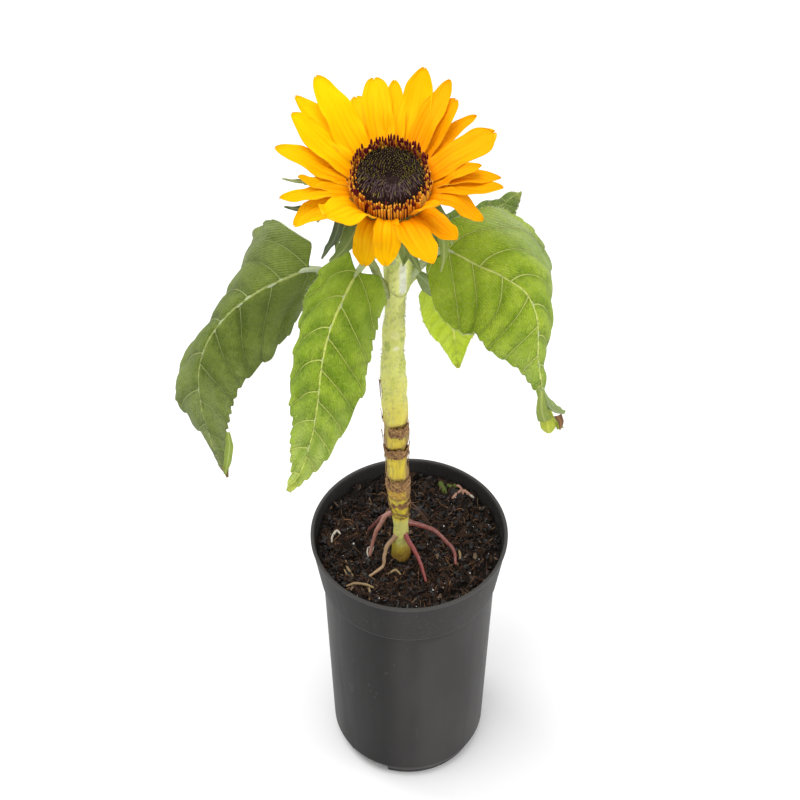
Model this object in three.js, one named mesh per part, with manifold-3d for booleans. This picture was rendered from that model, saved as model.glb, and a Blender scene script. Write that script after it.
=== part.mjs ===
// A potted sunflower plant. Millimetres, +Z up, with the origin in the middle of the pot's underside.
// The plant's best side faces -Y, and the flower head tips towards it.
import * as THREE from "three";
import { mergeVertices } from "three/addons/utils/BufferGeometryUtils.js";
import Module from "manifold-3d";

const wasm = await Module();
wasm.setup();

// Driving dimensions
const clearance = 0.3;

const pot = {
  height: 195,
  rimRadius: 60,
  lipHeight: 1.4,
  lipStep: 0.4,
  bandHeight: 36,
  bandFootRadius: 54.9,
  bodyTopRadius: 53.3,
  bodyFootRadius: 49.8,
  footRadius: 46,
  footHeight: 11,
  footRound: 0.6,
  wall: 2,
  floor: 8,
  recess: 6,
  hubRadius: 18,
  recessRadius: 40,
  notchCount: 3,
  notchAzimuth: 235,
  notchWidth: 28,
  notchHeight: 6,
  sides: 48,
};
const bandFoot = pot.height - pot.bandHeight;

const soil = {
  level: 186,
  clearance: 0.45,
  lumps: 2.4,
  lumpLength: 20,
  calmRadius: 18,
  rings: [44, 34, 24, 12, 0],
  sides: 40,
};

// Stem stations: height, centre x, centre y, radius.
const stem = {
  sides: 14,
  stepsPerStation: 2,
  stations: [
    { z: 186.3, x: -5, y: -10, radius: 5.3 },
    { z: 194, x: -5, y: -10, radius: 5.2 },
    { z: 204, x: -5, y: -10, radius: 4.4 },
    { z: 220, x: -5.2, y: -10, radius: 4.7 },
    { z: 236, x: -6, y: -10, radius: 6.2 },
    { z: 252, x: -6.8, y: -10, radius: 7 },
    { z: 268, x: -7.3, y: -10, radius: 6.2 },
    { z: 284, x: -7.7, y: -10, radius: 7 },
    { z: 312, x: -8.4, y: -10, radius: 7.2 },
    { z: 340, x: -9.4, y: -10, radius: 7 },
    { z: 364, x: -9.4, y: -10, radius: 5.8 },
    { z: 388, x: -8.2, y: -10, radius: 5.3 },
    { z: 402, x: -7.4, y: -10, radius: 5.1 },
    { z: 415, x: -6.2, y: -10, radius: 7.8 },
    { z: 430, x: -7.2, y: -10, radius: 6.2 },
    { z: 441, x: -8.8, y: -11.4, radius: 5 },
    { z: 450, x: -10, y: -13.6, radius: 4.9 },
    { z: 458.8, x: -10.4, y: -15.6, radius: 5.2 },
  ],
};

const root = { sides: 7, stepsPerPoint: 2, thick: 2.1, thin: 0.9 };
const rootPaths = {
  root_right: [[-3, -8, 214], [7, -6, 208], [15, -6, 203], [22, -9, 197], [27, -13, 192], [28, -20, 188]],
  root_front: [[-4, -11, 210], [0, -16, 204], [4, -20, 199], [7, -25, 194], [10, -33, 188]],
  root_tan: [[-7, -12, 207], [-13, -15, 200], [-15, -19, 195], [-16, -23, 190], [-24, -29, 188]],
  root_left: [[-8, -8, 224], [-14, -6, 217], [-19, -7, 206], [-22, -9, 196], [-24, -13, 188]],
  root_back: [[-7, -6, 220], [-15, -1, 211], [-20, 3, 200], [-25, 7, 188]],
};

// The flower head's frame: x to the plant's right, y to the back, z out of the disc from its rim.
const head = { centre: new THREE.Vector3(-10.4, -20.65, 482.6), elevation: 78 };

// The dome runs over the disc from its rim, as shares of its radius and height.
const disc = {
  radius: 19.5,
  depth: 7,
  footInset: 2.5,
  domeHeight: 8,
  dome: [[1, 0], [0.97, 0.7], [0.86, 0.95], [0.62, 1], [0.36, 0.9], [0.14, 0.75], [0, 0.7]],
  sides: 36,
};

// The ring of tubular florets that stand up round the disc. Foot is the height of their bases.
const florets = { count: 30, foot: 1.5, height: 9.5, radius: 1.4, sides: 5, inset: 1.7, splay: 4 };

// Ray florets, anticlockwise from the plant's right as the disc is looked at.
// Azimuth, length, width, lift at the root, sag to the tip, sideways swing, and 0 for upper or 1 for lower.
const rays = [
  { azimuth: -3, length: 36, width: 10, lift: 36, sag: 39, swing: 0, whorl: 1 },
  { azimuth: 4, length: 35, width: 9, lift: 31, sag: 36, swing: 1, whorl: 0 },
  { azimuth: 5, length: 28, width: 9, lift: 44, sag: 17, swing: 1, whorl: 1 },
  { azimuth: 22, length: 39, width: 16, lift: 33, sag: 14, swing: 3, whorl: 0 },
  { azimuth: 44, length: 41, width: 8, lift: 38, sag: 38, swing: 0, whorl: 1 },
  { azimuth: 51, length: 38, width: 11, lift: 42, sag: 17, swing: 4, whorl: 1 },
  { azimuth: 59, length: 44, width: 12, lift: 44, sag: 20, swing: 2, whorl: 0 },
  { azimuth: 71, length: 46, width: 17, lift: 46, sag: 14, swing: 6, whorl: 1 },
  { azimuth: 86, length: 40, width: 11, lift: 45, sag: 33, swing: 6, whorl: 0 },
  { azimuth: 99, length: 40, width: 14.5, lift: 48, sag: 31, swing: -2, whorl: 0 },
  { azimuth: 109, length: 39, width: 11, lift: 34, sag: 34, swing: -5, whorl: 1 },
  { azimuth: 129, length: 48, width: 17, lift: 41, sag: 7, swing: -3, whorl: 0 },
  { azimuth: 136, length: 48, width: 12, lift: 44, sag: 27, swing: 5, whorl: 1 },
  { azimuth: 153, length: 42, width: 15, lift: 40, sag: 7, swing: -2, whorl: 0 },
  { azimuth: 168, length: 40, width: 13, lift: 29, sag: 10, swing: -2, whorl: 0 },
  { azimuth: 184, length: 28, width: 8, lift: 34, sag: 8, swing: 0, whorl: 1 },
  { azimuth: 191, length: 35, width: 9, lift: 29, sag: 29, swing: 1, whorl: 0 },
  { azimuth: 200, length: 32, width: 13, lift: 28, sag: 54, swing: 1, whorl: 1 },
  { azimuth: 232, length: 37, width: 20, lift: 60, sag: 26, swing: -2, whorl: 0 },
  { azimuth: 248, length: 28, width: 13.5, lift: 34, sag: 120, swing: 0, whorl: 1 },
  { azimuth: 267, length: 26, width: 13.5, lift: 44, sag: 113, swing: -3, whorl: 0 },
  { azimuth: 289, length: 37, width: 15.5, lift: 46, sag: 46, swing: 8, whorl: 1 },
  { azimuth: 306, length: 36, width: 9, lift: 57, sag: 1, swing: 1, whorl: 0 },
  { azimuth: 313, length: 27, width: 13, lift: 34, sag: 35, swing: 1, whorl: 1 },
  { azimuth: 344, length: 31, width: 12, lift: 32, sag: 71, swing: 2, whorl: 0 },
];

// What all ray florets share. Heights are one for each whorl, and the outline is a share of the width.
const rayForm = {
  startRadius: 20,
  heights: [-2.5, -4.7],
  thickness: 0.9,
  outline: [0.7, 0.86, 0.95, 1, 1, 0.92, 0.68, 0.1],
  steps: { across: 2, along: 8 },
};

// How a ray floret or a bract bends: the sag comes early along it, and its edges cup a little.
const petalForm = { slices: 24, sagPower: 2.5, cup: 0.06 };

// The calyx is a bowl that narrows to the stem. Swell is its radius at heights over its foot.
const calyx = {
  depth: 24,
  radius: 21.5,
  footRadius: 5.4,
  swell: [[8, 3], [15, 7.5]],
  rimHeight: 4,
  rimRound: 1,
  sides: 28,
};

// Bracts at the front hang, and those at the back stand out level.
const bracts = {
  count: 14,
  firstAzimuth: 4,
  length: 29,
  lengthSpread: 3,
  width: 7.5,
  thickness: 1.1,
  rootDepth: 4,
  height: -9.3,
  stagger: 0.3,
  lift: { back: 18, front: -33 },
  sag: { back: 20, front: 70 },
  outline: [1, 1, 0.95, 0.8, 0.55, 0.3, 0.08],
  steps: { across: 2, along: 5 },
};

// Leaves. The rib runs from the foot of the blade to its tip, and face is the way the upper side looks.
// Half is half the blade's width in eighths of the rib. Left and right turn each half down, in degrees, and
// lobes are how far back the left and the right one reach.
const leaves = {
  leaf_left: {
    stalk: [[-9, -8, 396], [-22, -5, 400], [-38, -3, 407]],
    rib: [[-53, -2, 411], [-68, 0, 401], [-84, 0, 390], [-101, -2, 373], [-112, -10, 356], [-114, -24, 341],
      [-109, -38, 322], [-100, -50, 301]],
    face: [0, -0.6, 0.8],
    half: [21, 33, 36, 35, 32, 27, 18, 8, 1],
    left: [-20, 38, 82, 50, 88],
    right: [78, 66, 22, 12, 15],
    lobes: [12, 16],
  },
  leaf_front: {
    stalk: [[-8, -12, 426], [-14, -17, 434], [-20, -22, 437]],
    rib: [[-27, -27, 431], [-34, -36, 421], [-41, -46, 408], [-45, -57, 395], [-47, -67, 381], [-50, -76, 365],
      [-55, -86, 351], [-63, -94, 340]],
    face: [0, -0.6, 0.8],
    half: [20, 23, 25, 25, 23, 18, 12, 6, 1],
    left: [36, 46, 46, 30, 10],
    right: [36, 34, 18, 12, 5],
    lobes: [11, 4],
  },
  leaf_right: {
    stalk: [[-4, -10, 410], [4, -11, 420], [11, -9, 427]],
    rib: [[19, -8, 429], [34, -12, 422], [48, -16, 417], [60, -22, 410], [65, -32, 400], [65, -46, 389],
      [68, -62, 377], [76, -76, 368]],
    face: [0, -0.6, 0.8],
    half: [22, 32, 35, 35, 32, 26, 14, 3.5, 1],
    left: [10, 20, 5, 14, 70],
    right: [-5, 20, 66, 86, 60],
    lobes: [10, 10],
  },
  leaf_behind: {
    stalk: [[-5, -7, 402], [2, 0, 404], [7, 5, 400]],
    rib: [[12, 10, 390], [19, 17, 372], [23, 23, 353], [25, 28, 332], [28, 36, 300]],
    face: [0, 0.93, 0.3],
    half: [6, 12, 15, 16, 15, 13, 9, 5, 1],
    left: [25, 25, 25],
    right: [25, 25, 25],
    lobes: [5, 5],
  },
  leaf_far: {
    stalk: [[-5, -6, 416], [0, 1, 419], [5, 6, 417]],
    rib: [[10, 12, 411], [24, 30, 407], [37, 47, 402], [50, 64, 398], [62, 80, 395]],
    face: [0, 0, 1],
    half: [10, 19, 24, 24, 20, 14, 9, 5, 1],
    left: [15, 15, 15],
    right: [15, 15, 15],
    lobes: [6, 6],
  },
  leaf_back: {
    stalk: [[-9, -6, 410], [-11, 1, 417], [-12, 6, 420]],
    rib: [[-12, 12, 420], [-13, 33, 421], [-14, 53, 413], [-15, 70, 396], [-15, 82, 373]],
    face: [0, 0.5, 0.87],
    half: [10, 17, 21, 22, 21, 17, 12, 7, 1],
    left: [15, 15, 15],
    right: [15, 15, 15],
    lobes: [7, 7],
  },
};

// What all leaves share. Crease is the share of the droop that a half has beside the rib.
// Chord is how much of the rib, each way, gives the direction that a row of the blade lies across.
// Lobes reach back past the foot of the blade over the first part of the rib, with round shoulders.
const leafForm = {
  thickness: 1.8,
  narrowest: 1,
  crease: 0.55,
  chord: 0.26,
  tooth: 0.06,
  toothReach: 0.9,
  lobeSpan: 0.2,
  lobeBend: 1.5,
  lobeReach: 1.3,
  lobeRound: 0.45,
  lobeRoundPower: 5,
  shoulderSpan: 0.1,
  shoulderCut: 0.35,
  steps: { across: 4, along: 18 },
};

const stalk = { sides: 5, stepsPerPoint: 1.5, thick: 2.6, thin: 1, sunk: 0.8 };

const joinDistance = 1e-4;
const smoothing = 0.01;

// Small tools for shapes
const vector = (point) => new THREE.Vector3(...point);
const radians = THREE.MathUtils.degToRad;
const mix = THREE.MathUtils.lerp;

function curveThrough(points) {
  return new THREE.CatmullRomCurve3(points, false, "catmullrom");
}

// Reads a list of values as a smooth curve over 0 to 1.
function along(values, t) {
  return curveThrough(values.map((value) => new THREE.Vector3(value, 0, 0))).getPoint(t).x;
}

// Moves every corner of a closed geometry to a new place.
function bent(geometry, moved) {
  const corners = geometry.attributes.position;
  for (let i = 0; i < corners.count; i++) {
    corners.setXYZ(i, ...moved(new THREE.Vector3().fromBufferAttribute(corners, i)).toArray());
  }
  return geometry;
}

function solidOf(geometry) {
  geometry.deleteAttribute("normal");
  geometry.deleteAttribute("uv");
  const merged = mergeVertices(geometry, joinDistance);
  return new wasm.Manifold(new wasm.Mesh({
    numProp: 3,
    vertProperties: new Float32Array(merged.attributes.position.array),
    triVerts: new Uint32Array(merged.index.array),
  }));
}

function geometryOf(solid) {
  const mesh = solid.getMesh();
  const geometry = new THREE.BufferGeometry();
  geometry.setAttribute("position", new THREE.BufferAttribute(new Float32Array(mesh.vertProperties), 3));
  geometry.setIndex(new THREE.BufferAttribute(new Uint32Array(mesh.triVerts), 1));
  geometry.computeVertexNormals();
  return geometry;
}

// A profile of radii and heights, turned about the Z axis.
function lathe(profile, sides) {
  const turned = new THREE.LatheGeometry(profile.map(([r, z]) => new THREE.Vector2(r, z)), sides);
  return turned.rotateX(Math.PI / 2);
}

// A round limb along a path, with its radius as a function of how far along it is.
function limb(points, radiusAt, sides, steps) {
  const path = curveThrough(points);
  const upright = 0.8;
  const tube = new THREE.CylinderGeometry(1, 1, 1, sides, steps);
  return solidOf(bent(tube, (corner) => {
    const t = THREE.MathUtils.clamp(corner.y + 0.5, 0, 1);
    const forward = path.getTangent(t);
    const lean = Math.abs(forward.z) > upright ? new THREE.Vector3(0, 1, 0) : new THREE.Vector3(0, 0, 1);
    const side = new THREE.Vector3().crossVectors(forward, lean).normalize();
    const other = new THREE.Vector3().crossVectors(side, forward);
    const radius = radiusAt(t);
    return path.getPoint(t).addScaledVector(side, corner.x * radius).addScaledVector(other, corner.z * radius);
  }));
}

// Pot and soil
function potSolid() {
  const { footRadius, footRound, bodyFootRadius, footHeight, wall } = pot;
  const body = solidOf(lathe([
    [0, 0],
    [pot.hubRadius, 0],
    [pot.hubRadius, pot.recess],
    [pot.recessRadius, pot.recess],
    [pot.recessRadius, 0],
    [footRadius, 0],
    [footRadius + footRound, 5 * footRound],
    [bodyFootRadius - footRound, footHeight - 3 * footRound],
    [bodyFootRadius, footHeight],
    [pot.bodyTopRadius, bandFoot],
    [pot.bandFootRadius, bandFoot],
    [pot.rimRadius - pot.lipStep, pot.height - pot.lipHeight - pot.lipStep],
    [pot.rimRadius, pot.height - pot.lipHeight],
    [pot.rimRadius, pot.height],
    [pot.rimRadius - wall, pot.height],
    [pot.bandFootRadius - wall, bandFoot],
    [pot.bodyTopRadius - wall, bandFoot - wall],
    [bodyFootRadius - wall, footHeight],
    [footRadius - wall, pot.floor],
    [0, pot.floor],
  ], pot.sides));
  return drainNotches().reduce((whole, notch) => whole.subtract(notch), body);
}

// Square drain notches through the foot, from its edge into the recess.
function drainNotches() {
  const inside = pot.recessRadius - pot.wall;
  const outside = pot.bodyFootRadius + pot.wall;
  return Array.from({ length: pot.notchCount }, (_, i) => {
    const notch = new THREE.BoxGeometry(outside - inside, pot.notchWidth, 2 * pot.notchHeight);
    notch.translate((inside + outside) / 2, 0, 0);
    return solidOf(notch.rotateZ(radians(pot.notchAzimuth + i * 360 / pot.notchCount)));
  });
}

// The soil fills the pot, and its top sinks in low lumps away from the stem and roots.
function soilSolid() {
  const inner = pot.wall + soil.clearance;
  const rise = (soil.level - bandFoot) / pot.bandHeight;
  const edge = mix(pot.bandFootRadius, pot.rimRadius, rise) - inner;
  const profile = [
    [0, pot.floor + clearance],
    [pot.footRadius - pot.wall - 1, pot.floor + clearance],
    [pot.bodyFootRadius - inner, pot.footHeight + 1],
    [pot.bodyTopRadius - inner, bandFoot - pot.wall + 0.5],
    [pot.bandFootRadius - inner, bandFoot + 1],
    [edge, soil.level],
    ...soil.rings.map((radius) => [radius, soil.level]),
  ];
  return solidOf(bent(lathe(profile, soil.sides), (corner) => {
    const onTop = corner.z > soil.level - 1 && Math.hypot(corner.x, corner.y) > soil.calmRadius;
    return onTop ? corner.setZ(corner.z - lumpDepth(corner.x, corner.y)) : corner;
  }));
}

function lumpDepth(x, y) {
  const turn = 2 * Math.PI / soil.lumpLength;
  const waves = Math.sin(x * turn + 1.3) * Math.cos(y * turn * 0.87) + Math.sin((x * 0.55 - y * 0.74) * turn);
  return soil.lumps * (0.5 + waves / 4);
}

// Stem and roots
function stemSolid(growth) {
  const centres = stem.stations.map(({ x, y, z }) => new THREE.Vector3(x, y, z));
  const radii = stem.stations.map(({ radius }) => radius);
  const steps = (centres.length - 1) * stem.stepsPerStation;
  return limb(centres, (t) => along(radii, t) + growth, stem.sides, steps);
}

function rootSolid(path, growth) {
  const radiusAt = (t) => mix(root.thick, root.thin, t) + growth;
  return limb(path.map(vector), radiusAt, root.sides, path.length * root.stepsPerPoint);
}

// Flower head
const headFrame = new THREE.Matrix4()
  .makeRotationX(radians(90 - head.elevation))
  .setPosition(head.centre);

function atHead(geometry) {
  return geometry.applyMatrix4(headFrame);
}

function discSolid(growth) {
  const edge = disc.radius + growth;
  const dome = disc.dome.map(([out, up]) => [out * edge, up * disc.domeHeight]);
  const cushion = solidOf(atHead(lathe([
    [0, -disc.depth],
    [edge - disc.footInset, -disc.depth],
    [edge, -disc.footInset],
    ...dome,
  ], disc.sides)));
  const ring = Array.from({ length: florets.count }, (_, i) => floretSolid(i * 2 * Math.PI / florets.count));
  return ring.reduce((whole, floret) => whole.add(floret), cushion);
}

function floretSolid(azimuth) {
  const spike = new THREE.ConeGeometry(florets.radius, florets.height, florets.sides);
  spike.rotateX(Math.PI / 2).rotateY(radians(florets.splay));
  spike.translate(disc.radius - florets.inset, 0, florets.foot + florets.height / 2).rotateZ(azimuth);
  return solidOf(atHead(spike));
}

// A thin blade in the head's frame that leaves the centre at an azimuth, lifts, then sags.
function petalSolid(petal, growth) {
  const { azimuth, length, width, lift, sag, swing, startRadius, height, thickness, outline, steps } = petal;
  const { slices, sagPower, cup } = petalForm;
  const angleAt = (t) => radians(lift - sag * (1 - Math.pow(1 - t, sagPower)));
  const turnAt = (t) => radians(azimuth + swing * t);
  const outward = (t) => new THREE.Vector3(Math.cos(turnAt(t)), Math.sin(turnAt(t)), 0);
  const spine = [outward(0).multiplyScalar(startRadius - growth).setZ(height)];
  const reach = (length + 2 * growth) / slices;
  for (let i = 0; i < slices; i++) {
    const t = (i + 0.5) / slices;
    const next = spine[i].clone().addScaledVector(outward(t), Math.cos(angleAt(t)) * reach);
    next.z += Math.sin(angleAt(t)) * reach;
    spine.push(next);
  }
  const path = curveThrough(spine);
  const blade = new THREE.BoxGeometry(1, 1, 1, steps.across, steps.along, 1);
  return solidOf(atHead(bent(blade, (corner) => {
    const t = corner.y + 0.5;
    const side = new THREE.Vector3(Math.sin(turnAt(t)), -Math.cos(turnAt(t)), 0);
    const normal = new THREE.Vector3().crossVectors(side, path.getTangent(t));
    const half = along(outline, t) * width / 2 + growth;
    const edge = 2 * corner.x;
    return path.getPoint(t)
      .addScaledVector(side, edge * half)
      .addScaledVector(normal, corner.z * (thickness + 2 * growth) + edge * edge * width * cup);
  })));
}

function raySolid(ray, growth) {
  return petalSolid({ ...rayForm, ...ray, height: rayForm.heights[ray.whorl] }, growth);
}

function calyxSolid(growth) {
  const rim = calyx.radius + growth;
  const top = -disc.depth - clearance + growth;
  const bowl = solidOf(atHead(lathe([
    [0, -calyx.depth],
    [calyx.footRadius, -calyx.depth],
    ...calyx.swell.map(([radius, up]) => [radius, up - calyx.depth]),
    [rim - calyx.rimRound, top - calyx.rimHeight],
    [rim, top - calyx.rimHeight / 2],
    [rim - calyx.rimRound, top],
    [0, top],
  ], calyx.sides)));
  const blades = Array.from({ length: bracts.count }, (_, i) => bractSolid(i, growth));
  return blades.reduce((whole, bract) => whole.add(bract), bowl);
}

function bractSolid(index, growth) {
  const azimuth = bracts.firstAzimuth + index * 360 / bracts.count;
  const front = (1 - Math.sin(radians(azimuth))) / 2;
  return petalSolid({
    ...bracts,
    azimuth,
    length: bracts.length + bracts.lengthSpread * Math.sin(index * 2.4),
    lift: mix(bracts.lift.back, bracts.lift.front, front),
    sag: mix(bracts.sag.back, bracts.sag.front, front),
    swing: 0,
    startRadius: calyx.radius - bracts.rootDepth,
    height: bracts.height - bracts.stagger * (index % 2),
  }, growth);
}

// Leaves
function leafSolid(leaf, growth) {
  const rib = curveThrough(leaf.rib.map(vector));
  const face = vector(leaf.face).normalize();
  const { steps, crease, chord, tooth, toothReach, narrowest, thickness } = leafForm;
  const { lobeSpan, lobeBend, lobeReach, lobeRound, lobeRoundPower, shoulderSpan, shoulderCut } = leafForm;
  const blade = new THREE.BoxGeometry(1, 1, 1, steps.across, steps.along, 1);
  return solidOf(bent(blade, (corner) => {
    const t = THREE.MathUtils.clamp(corner.y + 0.5, 0, 1);
    const hand = Math.sign(corner.x);
    const reach = Math.abs(corner.x) * 2;
    const forward = rib.getPoint(Math.min(t + chord, 1)).sub(rib.getPoint(Math.max(t - chord, 0))).normalize();
    const side = new THREE.Vector3().crossVectors(forward, face).normalize();
    const normal = new THREE.Vector3().crossVectors(side, forward);

    const droop = radians(along(hand > 0 ? leaf.left : leaf.right, t)) * mix(crease, 1, reach);
    const outward = side.multiplyScalar(hand * Math.cos(droop)).addScaledVector(normal, -Math.sin(droop));
    const upward = hand ? new THREE.Vector3().crossVectors(outward, forward).setLength(hand) : normal;

    const notched = Math.round(t * steps.along) % 2 && reach > toothReach ? 1 - tooth : 1;
    const shoulder = 1 - shoulderCut * Math.pow(Math.max(1 - t / shoulderSpan, 0), 2);
    const half = (Math.max(along(leaf.half, t), narrowest) * notched * shoulder + growth) * reach;
    const round = Math.pow(reach, lobeReach) * (1 - lobeRound * Math.pow(reach, lobeRoundPower));
    const back = leaf.lobes[hand > 0 ? 0 : 1] * Math.pow(Math.max(1 - t / lobeSpan, 0), lobeBend) * round;
    return rib.getPoint(t)
      .addScaledVector(outward, half)
      .addScaledVector(forward, -back)
      .addScaledVector(upward, corner.z * (thickness + 2 * growth));
  })).add(stalkSolid(leaf, growth));
}

// The stalk runs on under the blade as its midrib.
function stalkSolid(leaf, growth) {
  const under = vector(leaf.face).setLength(-stalk.sunk);
  const midrib = leaf.rib.slice(0, -1).map((point) => vector(point).add(under));
  const path = [...leaf.stalk.map(vector), ...midrib];
  const radiusAt = (t) => mix(stalk.thick, stalk.thin, t) + growth;
  return limb(path, radiusAt, stalk.sides, Math.round(path.length * stalk.stepsPerPoint));
}

// Looks
function finish(color, roughness) {
  return new THREE.MeshStandardMaterial({ color, roughness, metalness: 0 });
}

const plastic = finish(0x3c3b3b, 0.55);
const earth = finish(0x2a201b, 1);
const stalkGreen = finish(0xb9b84e, 0.7);
const rootRed = finish(0xa8564c, 0.7);
const discBrown = finish(0x3a241c, 0.9);
const bractGreen = finish(0x6d8f3c, 0.8);
const leafGreen = finish(0x5f8a35, 0.7);
const rayYellow = finish(0xffc800, 0.6);

// The whole plant. Fuller copies of the pieces in place are what later pieces are cut back from.
const plant = new THREE.Group();
const inPlace = [];

function add(name, solid, look) {
  const mesh = new THREE.Mesh(geometryOf(solid), look);
  mesh.name = name;
  plant.add(mesh);
}

function boxesMeet(a, b) {
  const boxA = a.boundingBox();
  const boxB = b.boundingBox();
  return [0, 1, 2].every((axis) => boxA.min[axis] <= boxB.max[axis] && boxB.min[axis] <= boxA.max[axis]);
}

// Cuts a piece back from its neighbours and keeps the largest body that is left.
function grow(name, shape, look) {
  const whole = shape(0);
  const near = inPlace.filter((neighbour) => boxesMeet(whole, neighbour));
  const bodies = near.reduce((left, neighbour) => left.subtract(neighbour), whole).decompose();
  const kept = bodies.sort((a, b) => b.volume() - a.volume())[0];
  add(name, kept.simplify(smoothing), look);
  inPlace.push(shape(clearance));
}

add("pot", potSolid(), plastic);
add("soil", soilSolid(), earth);
grow("stem", stemSolid, stalkGreen);
grow("disc", discSolid, discBrown);
for (const whorl of [0, 1]) {
  rays.forEach((ray, i) => {
    if (ray.whorl === whorl) {
      grow(`ray_${String(i + 1).padStart(2, "0")}`, (growth) => raySolid(ray, growth), rayYellow);
    }
  });
}
grow("calyx", calyxSolid, bractGreen);
for (const [name, leaf] of Object.entries(leaves)) {
  grow(name, (growth) => leafSolid(leaf, growth), leafGreen);
}
for (const [name, path] of Object.entries(rootPaths)) {
  grow(name, (growth) => rootSolid(path, growth), rootRed);
}

export default plant;
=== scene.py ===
import math

import bpy
import numpy as np
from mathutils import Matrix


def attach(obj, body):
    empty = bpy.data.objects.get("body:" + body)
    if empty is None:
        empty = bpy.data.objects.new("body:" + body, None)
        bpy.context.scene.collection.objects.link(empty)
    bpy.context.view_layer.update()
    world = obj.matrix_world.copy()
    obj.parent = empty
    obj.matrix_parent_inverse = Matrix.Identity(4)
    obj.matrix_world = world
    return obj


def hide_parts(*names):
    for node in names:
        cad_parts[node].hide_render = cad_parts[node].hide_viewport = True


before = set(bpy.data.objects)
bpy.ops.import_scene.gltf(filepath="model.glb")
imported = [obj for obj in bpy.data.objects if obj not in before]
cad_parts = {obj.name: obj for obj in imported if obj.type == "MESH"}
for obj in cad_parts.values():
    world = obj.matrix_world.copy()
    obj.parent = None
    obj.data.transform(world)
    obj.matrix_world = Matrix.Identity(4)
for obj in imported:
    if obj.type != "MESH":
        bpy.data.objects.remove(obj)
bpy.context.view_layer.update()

# The looks of a potted sunflower, in soft studio light on a pale floor. Tables are in millimetres.
mm = 0.001
turn = 2 * math.pi


# Numbers, for arrays and for wires of a material
def isWire(value):
    return isinstance(value, Wire)


def either(kind, plain, *values):
    wires = [value for value in values if isWire(value)]
    return wires[0].look.maths(kind, *values) if wires else plain(*values)


def least(a, b):
    return either("MINIMUM", np.minimum, a, b)


def most(a, b):
    return either("MAXIMUM", np.maximum, a, b)


def sine(a):
    return either("SINE", np.sin, a)


def whole(a):
    return either("FLOOR", np.floor, a)


def smooth(low, high, x):
    if isWire(x):
        ends = {"Value": x, "From Min": low, "From Max": high}
        return x.look.node("MapRange", {"interpolation_type": "SMOOTHSTEP"}, ends, "Result")
    f = np.clip((x - low) / (high - low), 0, 1)
    return f * f * (3 - 2 * f)


def unit(v):
    return v / np.maximum(np.linalg.norm(v, axis=-1, keepdims=True), 1e-9)


def mix(a, b, f):
    return a + (b - a) * f


# The curve that the CAD part draws through its points, or its slope.
def spline(points, t, slope=False):
    p = np.asarray(points, float)
    p = p.reshape(len(p), -1)
    q = np.concatenate([2 * p[:1] - p[1:2], p, 2 * p[-1:] - p[-2:-1]])
    place = np.asarray(t, float) * (len(p) - 1)
    i = np.clip(place.astype(int), 0, len(p) - 2)
    f = (place - i)[..., None]
    a, b, c, d = q[i], q[i + 1], q[i + 2], q[i + 3]
    if slope:
        value = 0.5 * (c - a + f * (2 * (2 * a - 5 * b + 4 * c - d) + f * 3 * (3 * b - 3 * c + d - a)))
    else:
        value = b + 0.5 * f * (c - a + f * (2 * a - 5 * b + 4 * c - d + f * (3 * b - 3 * c + d - a)))
    return value if p.shape[1] > 1 else value[..., 0]


# Soft seeded noise of about -1 to 1 whose waves are about size long.
def ripple(points, size, seed, count=14):
    rng = np.random.default_rng(seed)
    points = np.asarray(points, float)
    total = np.zeros(points.shape[:-1])
    for _ in range(count):
        wave = unit(rng.normal(size=points.shape[-1])) * turn / size * rng.uniform(0.6, 1.7)
        total += np.sin(points @ wave + rng.uniform(0, turn))
    return total / math.sqrt(count)


# Materials: a wire is a socket that Python's operators can work with.
def operators(kind):
    def forward(self, other):
        return self.look.maths(kind, self, other)

    def reflected(self, other):
        return self.look.maths(kind, other, self)

    return forward, reflected


class Wire:
    def __init__(self, look, socket):
        self.look = look
        self.socket = socket

    __add__, __radd__ = operators("ADD")
    __sub__, __rsub__ = operators("SUBTRACT")
    __mul__, __rmul__ = operators("MULTIPLY")
    __truediv__, __rtruediv__ = operators("DIVIDE")
    __pow__, __rpow__ = operators("POWER")
    __gt__, __lt__ = operators("GREATER_THAN")

    def __abs__(self):
        return self.look.maths("ABSOLUTE", self)


def socketOf(sockets, key):
    if isinstance(key, int):
        return sockets[key]
    return next(socket for socket in sockets if key in (socket.identifier, socket.name))


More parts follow.
